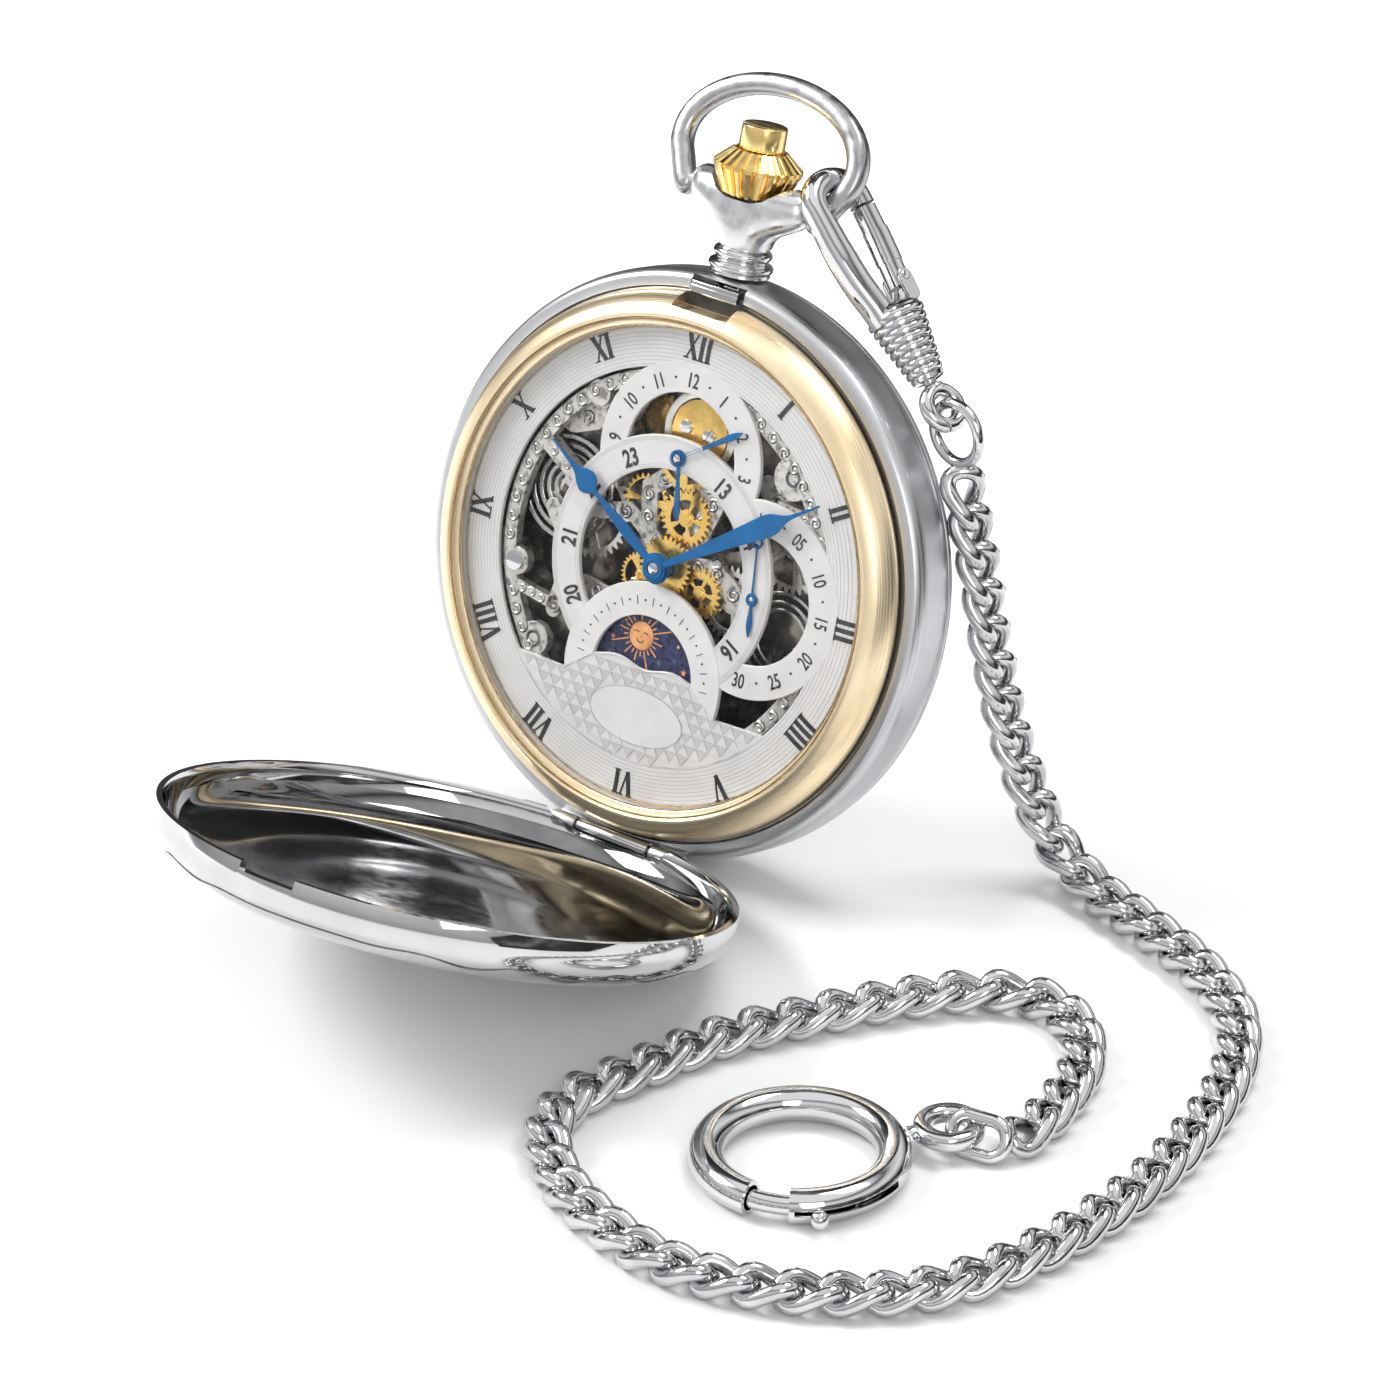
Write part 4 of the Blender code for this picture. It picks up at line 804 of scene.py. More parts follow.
def make_bezel():
    profile = [
        (22.35, 1.3), (22.62, 1.34), (22.95, 1.22), (23.25, 1.05), (23.62, 0.80), (24.0, 0.35),
        (24.28, -0.1), (24.5, -0.62), (24.6, -1.1), (24.45, -1.45), (22.5, -1.45), (22.5, -0.05),
        (21.5, -0.05), (21.5, 0.65), (22.35, 0.65),
    ]
    ring = lathe(profile, 240, 0.14, 3)
    ring = solid_boolean(ring, [block((-3.0, 23.35, -1.25), (3.0, 25.2, 1.5))])
    place("gold_bezel", ring, GOLD_SATIN, replaces=["bezel"])
    rehaut = lathe([(21.75, -0.33), (22.3, -0.33), (22.3, 0.6), (22.1, 0.6)], 200, 0.06)
    place("inner_flange", rehaut, SILVERED_PLAIN)
    # Painted shade: a thin black sheet on the floor of the catch's pocket, for the shade inside it.
    place("catch_slot", block((-2.98, 23.38, -1.245), (2.98, 24.5, -1.212)), PRINT_AND_PAINTED_SHADE)
    seats = [
        hoop(r, r + w, z - 0.09, z, 200, 0.03)
        for r, z, w in ((22.1, 1.30, 0.13), (21.42, 0.62, 0.16), (21.15, -0.2, 0.1))
    ]
    place("crystal_seats", merged(seats), SEAT_GOLD)


def make_crystal():
    profile = [
        (0, 1.95), (8, 1.91), (14, 1.82), (18, 1.72), (20.4, 1.6), (21.1, 1.52), (21.6, 1.38),
        (22.05, 1.15), (22.05, 0.95), (0, 0.95),
    ]
    place("crystal_glass", lathe(profile, 200, 0.1), GLASS, replaces=["crystal"], sharp=50)


def make_catch():
    tongue = block((-2.5, 25.0, -2.4), (2.5, 25.7, -0.95))
    nose = block((-2.5, 24.62, -1.2), (2.5, 25.35, -0.9))
    piece = place(
        "catch_tongue", merged([tongue, nose]), POLISHED, "cover_catch",
        replaces=["cover_catch"],
    )
    soften = piece.modifiers.new("soften", "BEVEL")
    soften.width = 0.12 * MM
    soften.segments = 3


def make_front_cover():
    """Built shut, then turned open about its hinge by the joint's own angle."""
    hinge = joint_place("front_cover_hinge")
    opening = math.radians(-JOINTS["front_cover_hinge"]["range_deg"][0])
    swing = Matrix.Translation(hinge) @ Matrix.Rotation(opening, 4, "X") @ Matrix.Translation(-hinge) @ CASE
    outer = [
        (25.7, -1.35), (25.82, -0.6), (25.85, 0.1), (25.65, 0.95), (25.2, 1.7), (24.3, 2.62), (22.8, 3.4),
        (19.0, 4.4), (14.0, 5.0), (7.0, 5.5), (0, 5.6),
    ]
    inner = [
        (0, 4.95), (7.0, 4.85), (14.0, 4.35), (19.0, 3.65), (22.2, 2.72), (23.7, 1.9), (24.5, 1.1),
        (24.85, 0.3), (24.9, -0.7), (24.95, -1.05), (25.15, -1.35),
    ]
    shell = revolve(inner + outer, 240)
    tools = [
        moved(hoop(0, 1.05, -7.3, 7.3, 32), HINGE),
        block((-7.3, -27.05, -1.95), (7.3, -24.15, -0.45)),
        block((-2.9, 24.15, -1.95), (2.9, 26.6, -0.55)),
    ]
    shell = solid_boolean(shell, tools)
    half = 3.9
    knuckle = moved(hoop(0.41, 0.75, -half, half, 40, 0.12), HINGE)
    web = block((-half, -25.9, -0.2), (half, -25.1, 1.1))
    place(
        "cover_shell", merged([shell, knuckle, web]), MIRROR, "front_cover", replaces=["front_cover"],
        sharp=40, at=swing,
    )
    # Painted reflection: a thin sheet of darker mirror over the inside of the cover, for the dark that it
    # reflects.
    dark_reflection_sheet = [(r, z - 0.03) for r, z in inner[:8]] + [(r, z + 0.1) for r, z in inner[7::-1]]
    place("cover_inside_dark_reflection", revolve(dark_reflection_sheet, 240), DARK_PAINTED_REFLECTION, "front_cover", sharp=40, at=swing)
    wave = []
    count = 420
    for i in range(count):
        a = TAU * i / count
        drift = 0.5 + 0.5 * math.sin(3 * a + 0.4)
        z = 2.15 + 0.55 * math.sin(17 * a) * drift
        radius = 25.2 - (z - 1.7) * 0.98 if z > 1.7 else 25.65 - (z - 0.95) * 0.6
        wave.append((radius * math.cos(a), radius * math.sin(a), z))
    place(
        "cover_engraving", tube(wave, 0.085, 6, cyclic=True), DARK_STEEL_AND_PAINTED_SHADE, "front_cover",
        at=swing,
    )


# --- head ----------------------------------------------------------------------------------------
def loft(levels, sides=48, power=2.6):
    """Superellipse sections stacked along Y: (y, half width in x, half width in z)."""
    points = []
    for y, wide, deep in levels:
        for k in range(sides):
            c, s = squared(TAU * k / sides, power)
            points.append((wide * c, y, deep * s))
    faces = []
    for i in range(len(levels) - 1):
        for k in range(sides):
            m = (k + 1) % sides
            faces.append((i * sides + k, i * sides + m, (i + 1) * sides + m, (i + 1) * sides + k))
    faces.append(tuple(range(sides)))
    faces.append(tuple((len(levels) - 1) * sides + k for k in range(sides - 1, -1, -1)))
    return outward(new_mesh("loft", points, faces))


def make_pendant():
    levels = [
        (29.2, 2.25, 2.25), (29.5, 2.35, 2.35), (30.0, 2.5, 2.42), (30.6, 3.1, 2.5), (31.2, 4.2, 2.5),
        (31.8, 5.3, 2.5), (32.4, 6.05, 2.5), (33.0, 6.35, 2.48), (33.6, 6.4, 2.42), (34.2, 6.3, 2.25),
        (34.7, 6.1, 1.95), (35.05, 5.7, 1.5), (35.2, 5.4, 1.0),
    ]
    yoke = moved(loft(levels), shift(0, 0, STEM_Z))
    saddle = revolve([(0, 33.42), (2.7, 33.42), (3.35, 33.85), (3.95, 34.8), (4.4, 36.5), (0, 36.5)], 64)
    stem_way = hoop(0, 1.05, 20, 36, 32)
    yoke = solid_boolean(yoke, [moved(saddle, STEM), moved(stem_way, STEM)])
    neck = [
        (1.06, 22.7), (1.5, 22.7), (1.5, 26.6), (2.75, 26.6), (2.62, 26.95), (2.86, 27.15), (2.92, 27.4),
        (2.8, 27.65), (2.3, 27.85), (2.27, 28.0), (2.52, 28.2), (2.66, 28.5), (2.52, 28.8), (2.25, 29.0),
        (2.2, 29.15), (2.3, 29.3), (1.06, 29.3),
    ]
    neck = moved(lathe(neck, 96, 0.15, 3), STEM)
    place("pendant_yoke", yoke, YOKE_SATIN, replaces=["pendant"], sharp=40)
    place("pendant_neck", neck, POLISHED, sharp=40)


def bow_path():
    """The bow's centre line above its pivot, as in the CAD."""
    first = math.radians(-25)
    points = [(6.3, -0.95), (7.15, -0.45)]
    for i in range(21):
        angle = first + (math.pi - 2 * first) * i / 20
        points.append((9.2 * math.cos(angle), 4.13 + 6.0 * math.sin(angle)))
    points += [(-7.15, -0.45), (-6.3, -0.95)]
    return [Vector((x, y, 0)) for x, y in points]


def make_bow():
    pivot = joint_place("bow_swing")
    tilt = Matrix.Translation(pivot) @ (CASE.to_3x3() @ Matrix.Rotation(math.radians(-20), 3, "X")).to_4x4()
    route = spline(bow_path(), 240)
    radii = []
    for p in route:
        in_from_end = min((p - route[0]).length, (p - route[-1]).length, 0.8) / 0.8
        radii.append(0.3 + 0.7 * math.sqrt(1 - (1 - in_from_end) ** 2))
    meshes = [tube(route, radii, 24, power=2.5)]
    for side in (-1, 1):
        low, high = sorted((side * 5.4, side * 7.4))
        meshes.append(moved(hoop(0, 0.62, low, high, 24), ALONG_X))
    place("bow_ring", merged(meshes), BOW_SATIN, "bow", replaces=["bow"], sharp=40, at=tilt)


def make_crown():
    flutes = 24

    def flute(angle, radius, height):
        share = (angle * flutes / TAU) % 1.0
        ridge = 1.0 if 0.22 < share < 0.78 else 0.0
        if radius < 2.4:
            return radius
        depth = 0.3 if height < 37.0 else 0.2
        return radius - (1 - ridge) * depth

    profile = [
        (0.98, 35.9), (0.98, 37.0), (2.12, 37.0), (2.15, 37.7), (2.5, 37.8), (3.98, 36.5), (4.0, 36.15),
        (2.95, 33.85), (2.8, 33.75), (0.78, 33.75), (0.78, 35.9),
    ]
    crown = moved(revolve(profile, flutes * 8, flute), STEM)
    place("fluted_crown", crown, GOLD, "crown", replaces=["crown"], sharp=18)
    button = [
        (0, 40.04), (1.0, 40.1), (1.85, 40.08), (2.03, 39.98), (2.05, 37.86), (0.9, 37.86), (0.9, 36.8),
        (0, 36.8),
    ]
    button = moved(lathe(button, 96, 0.08), STEM)
    place("push_piece", button, GOLD, "release_button", replaces=["release_button"])


# --- dial ------------------------------------------------------------------------------------------
DIAL_TOP = -0.35
DIAL_LOW = -0.75
ZONE = (0.0, 10.05)
SECONDS = (10.1, 0.0)
SUN_ARCH = (0.0, -10.0)
CLOUD_Y = -9.5
CLOUD_HALF = 5.3
ARCH_HALF = 8.25
OVAL = (0.2, -13.8)


def annulus(inner, outer, low, high, centre=(0, 0), steps=128):
    """A flat ring with its two upper edges broken."""
    edge = 0.06
    top = [(inner, high - edge), (inner + edge, high), (outer - edge, high), (outer, high - edge)]
    return moved(revolve(top + [(outer, low), (inner, low)], steps), shift(*centre))


def cloud_edge(x):
    """The scalloped upper edge of the cloud bank."""
    return CLOUD_Y + 0.27 * (1 - math.cos(math.pi * x / 3.0))


def drum(radius, centre=(0, 0)):
    """A cutter through the whole dial."""
    return moved(hoop(0, radius, -2, 1, 128), shift(*centre))


def turned_line(radius, top, steps):
    """One fine raised circle, as a lathe tool leaves."""
    section = [
        (radius, top - 0.03), (radius, top + 0.008), (radius + 0.05, top + 0.008),
        (radius + 0.05, top - 0.03),
    ]
    return revolve(section, steps)


def make_dial_plates():
    chapter = annulus(17.75, 22.2, DIAL_LOW, DIAL_TOP, steps=220)
    zone_ring = annulus(5.8, 8.6, DIAL_LOW, DIAL_TOP + 0.01, ZONE, 112)
    zone_ring = solid_boolean(zone_ring, [drum(9.0)])
    seconds_ring = annulus(5.85, 8.9, DIAL_LOW, DIAL_TOP + 0.015, SECONDS, 112)
    seconds_ring = solid_boolean(seconds_ring, [drum(9.0)])
    parts = [chapter, zone_ring, seconds_ring]
    place("dial_rings", merged(parts), SILVERED, replaces=["dial"])
    hours = annulus(8.8, 11.8, DIAL_LOW, DIAL_TOP + 0.05, steps=128)
    hours = solid_boolean(hours, [drum(8.3, SUN_ARCH)])
    place("dial_day_ring", hours, SILVERED)
    turned = [turned_line(17.98 + 0.34 * i, DIAL_TOP, 200) for i in range(13)]
    place("chapter_lines", merged(turned), SILVERED_SHADE)
    lines = merged([turned_line(r, DIAL_TOP + 0.05, 128) for r in (8.95, 9.15, 11.3, 11.45, 11.6)])
    lines = solid_boolean(lines, [drum(8.3, SUN_ARCH)])
    place("dial_day_ring_lines", lines, SILVERED_SHADE)
    post = moved(hoop(0.33, 0.62, -0.74, -0.30, 32), shift(*ZONE))
    place("dial_posts", post, SILVERED_PLAIN)


def make_arch():
    """The sun's window: a white arch over a cloud bank, and the field below it."""
    dip = math.atan2(-1.7, 8.2)
    rise = math.atan2(0.48, 5.35)
    outer = arc(8.4, dip, math.pi - dip, 60, SUN_ARCH)
    inner = arc(5.4, math.pi - rise, rise, 44, SUN_ARCH)
    place("dial_arch", slab([outer + inner], DIAL_LOW, DIAL_TOP + 0.09, 0.04), SILVERED_PLAIN)

    clouds = [(x * 0.25, cloud_edge(x * 0.25)) for x in range(-21, 22)]
    start, end = math.atan2(-11.55, -14.2), math.atan2(-11.55, 14.2)
    rim = arc(17.9, start, end, 60)
    right = [(ARCH_HALF, -11.7), (14.25, -11.55)]
    field = clouds + right + rim[::-1] + [(-x, y) for x, y in right[::-1]]
    place("dial_field", slab([field], DIAL_LOW, DIAL_TOP, 0.03), SILVERED)

    rope = [(x * 0.2, cloud_edge(x * 0.2) - 0.02, DIAL_TOP + 0.03) for x in range(-26, 27)]
    place("cloud_rim", tube(rope, 0.07, 8), SILVERED_PLAIN)


def inside_field(x, y):
    """Whether a point is on the engine-turned part of the field."""
    if math.hypot(x, y) > 17.35:
        return False
    if abs(x) < CLOUD_HALF:
        top = cloud_edge(x)
    else:
        top = CLOUD_Y - (abs(x) - CLOUD_HALF) * 0.75 if abs(x) < ARCH_HALF else -11.6
    if y > top - 0.35:
        return False
    return ((x - OVAL[0]) / 5.15) ** 2 + ((y - OVAL[1]) / 2.65) ** 2 > 1.0


def oval_loop(wide, tall):
    return [(OVAL[0] + x * wide, OVAL[1] + y * tall) for x, y in circle(1.0, 72)]


def make_guilloche():
    """Rows of small tilted triangles, engine turned, round a plain oval. One set of triangles also takes a darker
    copy of the silvered look: painted shade for the tilted facets that the light reaches less.
    """
    base, high = 1.28, 1.02
    lit_and_painted_shade_sets = [([], []), ([], [])]
    for row in range(-2, 10):
        y0 = -8.6 - row * high
        for column in range(-14, 15):
            left = column * base + (row % 2) * base / 2
            cells = (
                (((left, y0 - high), (left + base, y0 - high), (left + base / 2, y0)), 2, 0.075, 0.0),
                (((left + base / 2, y0), (left + base, y0 - high), (left + 1.5 * base, y0)), 1, 0.0, 0.03),
            )
            for corners, peak, at_peak, elsewhere in cells:
                mid = (sum(c[0] for c in corners) / 3, sum(c[1] for c in corners) / 3)
                if not inside_field(*mid):
                    continue
                points, faces = lit_and_painted_shade_sets[peak - 1]
                start = len(points)
                for i, (x, y) in enumerate(corners):
                    x = mid[0] + (x - mid[0]) * 0.95
                    y = mid[1] + (y - mid[1]) * 0.95
                    z = DIAL_TOP + 0.03 + (at_peak if i == peak else elsewhere)
                    points.append((x, y, z))
                points += [(p[0], p[1], DIAL_TOP - 0.02) for p in points[start : start + 3]]
                a, b, c, d, e, f = range(start, start + 6)
                faces += [(a, b, c), (f, e, d), (a, d, e, b), (b, e, f, c), (c, f, d, a)]
    # The first set takes the darker look, which is painted shade; the second takes the plain silvered look, as
    # lit.
    for (points, faces), name, material in zip(lit_and_painted_shade_sets, ("low", "high"), (GUILLOCHE_PAINTED_SHADE, SILVERED_PLAIN)):
        mesh = outward(new_mesh("guilloche", points, faces))
        place("guilloche_" + name, mesh, material, sharp=5)
    border = slab([oval_loop(5.08, 2.58), oval_loop(4.98, 2.48)], DIAL_TOP - 0.05, DIAL_TOP + 0.085, 0.02)
    place("cartouche_border", border, SILVERED_SHADE)
    oval = slab([oval_loop(5.0, 2.5)], DIAL_TOP - 0.05, DIAL_TOP + 0.07, 0.03)
    place("dial_cartouche", oval, SILVERED_PLAIN)


def bar(x0, y0, x1, y1, width, low, high):
    """A straight stroke of ink."""
    a, b = Vector((x0, y0)), Vector((x1, y1))
    across = (b - a).normalized()
    across = Vector((-across.y, across.x)) * width / 2
    corners = [a - across, b - across, b + across, a + across]
    points = [(p.x, p.y, low) for p in corners] + [(p.x, p.y, high) for p in corners]
    return outward(new_mesh("bar", points, BOX_FACES))


def roman(text, height, low, high):
    """A Roman numeral in thick and thin strokes with hairline serifs, centred on the origin."""
    advance = {"I": 0.33, "V": 0.62, "X": 0.62}
    at = -sum(advance[letter] for letter in text) / 2
    meshes = []
    thick, thin, serif = 0.19, 0.075, 0.06

    def stroke(x0, y0, x1, y1, width):
        start, end = (x0 * height, (y0 - 0.5) * height), (x1 * height, (y1 - 0.5) * height)
        meshes.append(bar(*start, *end, width * height, low, high))

    for letter in text:
        middle = at + advance[letter] / 2
        if letter == "I":
            stroke(middle, 0, middle, 1, thick)
            for y in (0.02, 0.98):
                stroke(middle - 0.15, y, middle + 0.15, y, serif)
        else:
            low_x = 0.0 if letter == "V" else 0.22
            stroke(middle - 0.22, 1, middle + low_x, 0, thick)
            stroke(middle + 0.22, 1, middle - low_x, 0, thin)
            for x in (-0.22, 0.22):
                stroke(middle + x - 0.13, 0.98, middle + x + 0.13, 0.98, serif)
            if letter == "X":
                for x in (-0.22, 0.22):
                    stroke(middle + x - 0.13, 0.02, middle + x + 0.13, 0.02, serif)
        at += advance[letter]
    return merged(meshes)


def dot(x, y, radius, low, high):
    return moved(hoop(0, radius, low, high, 16), shift(x, y))


def set_round(mesh, angle, radius, centre=(0, 0), flip=0):
    """A mark at a clock angle, with its top outward unless it is flipped."""
    return moved(mesh, shift(*clock(angle, radius, centre)) @ turn_z(-math.radians(angle + flip)))


def make_numerals():
    low, high = DIAL_TOP - 0.01, DIAL_TOP + 0.045
    meshes = []
    for hour, text in enumerate("XII I II III IIII V VI VII VIII IX X XI".split()):
        meshes.append(set_round(roman(text, 2.2, low, high), 30 * hour, 20.0))
    low, high = DIAL_TOP + 0.04, DIAL_TOP + 0.085
    for hour in (13, 14, 16, 20, 21, 22, 23):
        meshes.append(set_round(words(str(hour), 1.6, low, high, 0.76, 0.06), 30 * (hour - 12), 10.1))
    low, high = DIAL_TOP, DIAL_TOP + 0.045
    for hour in (9, 10, 11, 12, 1, 2, 3):
        angle = 30 * (hour % 12)
        meshes.append(set_round(words(str(hour), 1.35, low, high, 0.7, 0.02), angle, 7.1, ZONE))
        if hour != 3:
            meshes.append(dot(*clock(angle + 15, 7.15, ZONE), 0.12, low, high))
    for second in range(5, 31, 5):
        angle = 6 * second
        flip = 180 if angle > 90 else 0
        digits = words(f"{second:02}", 1.35, low, high, 0.7, 0.02)
        meshes.append(set_round(digits, angle, 7.35, SECONDS, flip))
        meshes.append(dot(*clock(angle - 15, 7.35, SECONDS), 0.12, low, high))
    low, high = DIAL_TOP + 0.08, DIAL_TOP + 0.12
    for i in range(-12, 13):
        angle = i * 7.2
        if i % 2:
            meshes.append(dot(*clock(angle, 6.8, SUN_ARCH), 0.1, low, high))
        else:
            inner, outer = clock(angle, 6.4, SUN_ARCH), clock(angle, 7.15, SUN_ARCH)
            meshes.append(bar(*inner, *outer, 0.07, low, high))
    place("dial_numerals", merged(meshes), PRINT_AND_PAINTED_SHADE, sharp=60)


# --- sun -------------------------------------------------------------------------------------------
def make_sun_display():
    disc = hoop(0.5, 5.75, -1.2, -1.05, 96, 0.04, 1)
    place("sky_disc", moved(disc, shift(*SUN_ARCH)), SKY, "sky_disc", replaces=["sun_moon_disc"])
    centre = Vector((-1.15, -6.75))
    low, high = -1.06, -1.0
    face = [(0, high + 0.06), (0.8, high + 0.03), (1.25, high - 0.02), (1.3, low), (0, low)]
    meshes = [moved(revolve(face, 48), shift(*centre))]
    for i in range(24):
        angle = TAU * (i + 0.5) / 24
        long = 2.35 if i % 2 else 1.85
        far = 3.3 if i % 6 == 1 else long
        outward_from = Vector((math.cos(angle), math.sin(angle)))
        a, b = centre + outward_from * 1.4, centre + outward_from * far
        if (b - Vector(SUN_ARCH)).length < 5.6:
            meshes.append(bar(a.x, a.y, b.x, b.y, 0.11, low, high))
    stars = (
        (3.9, -8.7, 0.34), (-4.1, -7.6, 0.22), (2.9, -6.6, 0.2), (-3.0, -5.8, 0.18), (4.4, -7.2, 0.16),
        (1.6, -5.1, 0.16),
    )
    for x, y, size in stars:
        loop = []
        for k in range(10):
            r = size if k % 2 == 0 else size * 0.42
            loop.append((x + r * math.sin(TAU * k / 10), y + r * math.cos(TAU * k / 10)))
        meshes.append(slab([loop], low, high))
    place("sun_and_stars", merged(meshes), COPPER, "sky_disc", sharp=50)
    features = []
    top = high + 0.055
    for side in (-1, 1):
        brow_at = centre + Vector((side * 0.48, 0.2))
        brow = [
            (brow_at.x + 1.3 * x, brow_at.y + y, top)
            for x, y in arc(0.2, math.pi / 8, math.pi * 7 / 8, 6)
        ]
        features.append(tube(brow, 0.05, 6))
    smile = [(centre.x + 0.32 * x, centre.y - 0.32 + 0.26 * y, top) for x, y in arc(1.0, math.pi, TAU, 8)]
    features.append(tube(smile, 0.05, 6))
    place("sun_features", merged(features), PRINT_AND_PAINTED_SHADE, "sky_disc")
    nose = [
        (centre.x, centre.y + 0.2, top - 0.02), (centre.x, centre.y, top + 0.03),
        (centre.x, centre.y - 0.15, top + 0.02),
    ]
    place("sun_nose", tube(nose, [0.05, 0.09, 0.1], 8), COPPER, "sky_disc")


# --- hands ---------------------------------------------------------------------------------------
def hand_loop(stations, hub_r):
    """An outline along +Y from half widths, with smooth sides and a round hub."""
    sides = spline([(w, y, 0) for y, w in stations], 40)
    start = math.atan2(sides[0].x, math.sqrt(max(hub_r**2 - sides[0].x ** 2, 0.01)))
    hub = [(x, y) for y, x in arc(hub_r, start, TAU - start, 40)]
    right = [(max(p.x, 0.02), p.y) for p in sides if p.y > hub_r * 0.9]
    left = [(-x, y) for x, y in right]
    return hub + left + right[::-1]


def hand(node, stations, hub_r, hole_r, low, angle, centre, body, tail=None, ring=None, thick=0.14, extra=()):
    """A blued hand: its outline, hub and hole, turned to its angle about its own centre."""
    loops = [hand_loop(stations, hub_r)]
    if hole_r:
        loops.append(circle(hole_r, 32))
    if ring:
        loops.append(circle(ring[1], 20, (0, ring[0])))
    meshes = [slab(loops, low, low + thick, 0.03)]
    if tail:
        back = slab([hand_loop(tail, hub_r * 0.9)], low + 0.01, low + thick - 0.01, 0.02)
        meshes.append(moved(back, turn_z(math.pi)))
    meshes += extra
    mesh = moved(merged(meshes), shift(*centre) @ turn_z(-math.radians(angle)))
    place(node + "_blued", mesh, BLUE, body, replaces=[node])


def pin(name, centre, radius, low, high, body):
    profile = [(0, high), (radius * 0.6, high - 0.01), (radius, high - 0.08), (radius, low), (0, low)]
    place(name, moved(revolve(profile, 32), shift(*centre)), POLISHED, body)


def make_hands():
    collar = hoop(0.66, 0.95, -0.9, 0.3, 40)
    hour = [
        (1.2, 0.34), (3.0, 0.5), (4.8, 0.56), (7.2, 0.36), (9.0, 0.2), (9.6, 0.78), (10.3, 1.16),
        (11.0, 0.92), (11.9, 0.38), (13.0, 0.2), (15.5, 0.08),
    ]
    hand("hour_hand", hour, 1.42, 0.62, 0.27, -58.0, (0, 0), "hour_hand", extra=[collar])
    minute = [
        (1.0, 0.26), (4.0, 0.42), (9.0, 0.74), (12.4, 0.98), (13.6, 0.92), (14.8, 0.42), (15.8, 0.2),
        (18.8, 0.08),
    ]
    pipe = hoop(0, 0.55, -1.25, 0.55, 32)
    hand("minute_hand", minute, 1.22, 0.0, 0.52, 56.9, (0, 0), "minute_hand", extra=[pipe])
    ring = hoop(0.66, 0.98, 0.64, 0.76, 40, 0.04)
    place("minute_hub_ring", ring, BLUE, "minute_hand")
    pin("minute_pin", (0, 0), 0.52, 0.6, 0.84, "minute_hand")

    zone_pipe = hoop(0.34, 0.48, -0.84, -0.2, 24)
    zone_hour = [(0.7, 0.16), (2.2, 0.2), (4.4, 0.33), (5.0, 0.26), (5.6, 0.06)]
    hand(
        "zone_hour_hand", zone_hour, 0.78, 0.33, -0.24, 170.0, ZONE, "zone_hour_hand", thick=0.11,
        extra=[zone_pipe],
    )
    zone_minute = [(0.7, 0.12), (3.2, 0.17), (5.9, 0.3), (6.7, 0.28), (7.5, 0.06)]
    spine = hoop(0, 0.24, -0.5, 0.0, 20)
    hand(
        "zone_minute_hand", zone_minute, 0.76, 0.0, -0.03, 57.0, ZONE, "zone_minute_hand", thick=0.11,
        extra=[spine],
    )
    pin("zone_pin", ZONE, 0.36, 0.02, 0.18, "zone_minute_hand")

    seconds = [(0.45, 0.09), (4.45, 0.09), (4.62, 0.3), (5.16, 0.56), (5.7, 0.3), (5.9, 0.09), (7.8, 0.05)]
    tail = [(0.45, 0.1), (1.3, 0.2), (2.3, 0.28), (3.0, 0.14), (3.35, 0.04)]
    hand(
        "seconds_hand", seconds, 0.6, 0.0, -0.23, -4.7, SECONDS, "fourth_wheel", tail=tail,
        ring=(5.16, 0.34), thick=0.12,
    )
    hub = hoop(0.3, 0.55, -0.12, -0.02, 32, 0.03, 1)
    place("seconds_hub_ring", moved(hub, shift(*SECONDS)), BLUE, "fourth_wheel")
    pin("seconds_pin", SECONDS, 0.22, -0.15, 0.02, "fourth_wheel")


# --- movement ------------------------------------------------------------------------------------
def gear_loop(teeth, root, tip, lean=0.0):
    flank = root + (tip - root) * 0.55
    tooth = (
        (0.0, root), (0.16 + lean, flank), (0.3 + lean, tip), (0.46 + lean, tip), (0.6, flank), (0.76, root),
    )
    loop = []
    for i in range(teeth):
        for share, radius in tooth:
            angle = TAU * (i + share) / teeth
            loop.append((radius * math.cos(angle), radius * math.sin(angle)))
    return loop


def window(inner, outer, start, end, count=10):
    return arc(outer, start, end, count) + arc(inner, end, start, count)


def spoked(teeth, tip, depth, low, high, spokes=5, hub=0.26, rim=0.78, lean=0.0):
    """A toothed wheel with spokes and a raised hub."""
    loops = [gear_loop(teeth, tip - depth, tip, lean)]
    for i in range(spokes):
        start = TAU * (i + 0.13) / spokes
        loops.append(window(tip * hub, tip * rim, start, start + TAU * 0.74 / spokes))
    hub_ring = hoop(0, tip * hub * 0.7, high - 0.02, high + 0.1, 32, 0.04, 1)
    return merged([slab(loops, low, high, 0.02), hub_ring])


def arbor(radius, low, high):
    return hoop(0, radius, low, high, 20, 0.05, 1)


def pinion(teeth, root, tip, low, high):
    return slab([gear_loop(teeth, root, tip)], low, high)


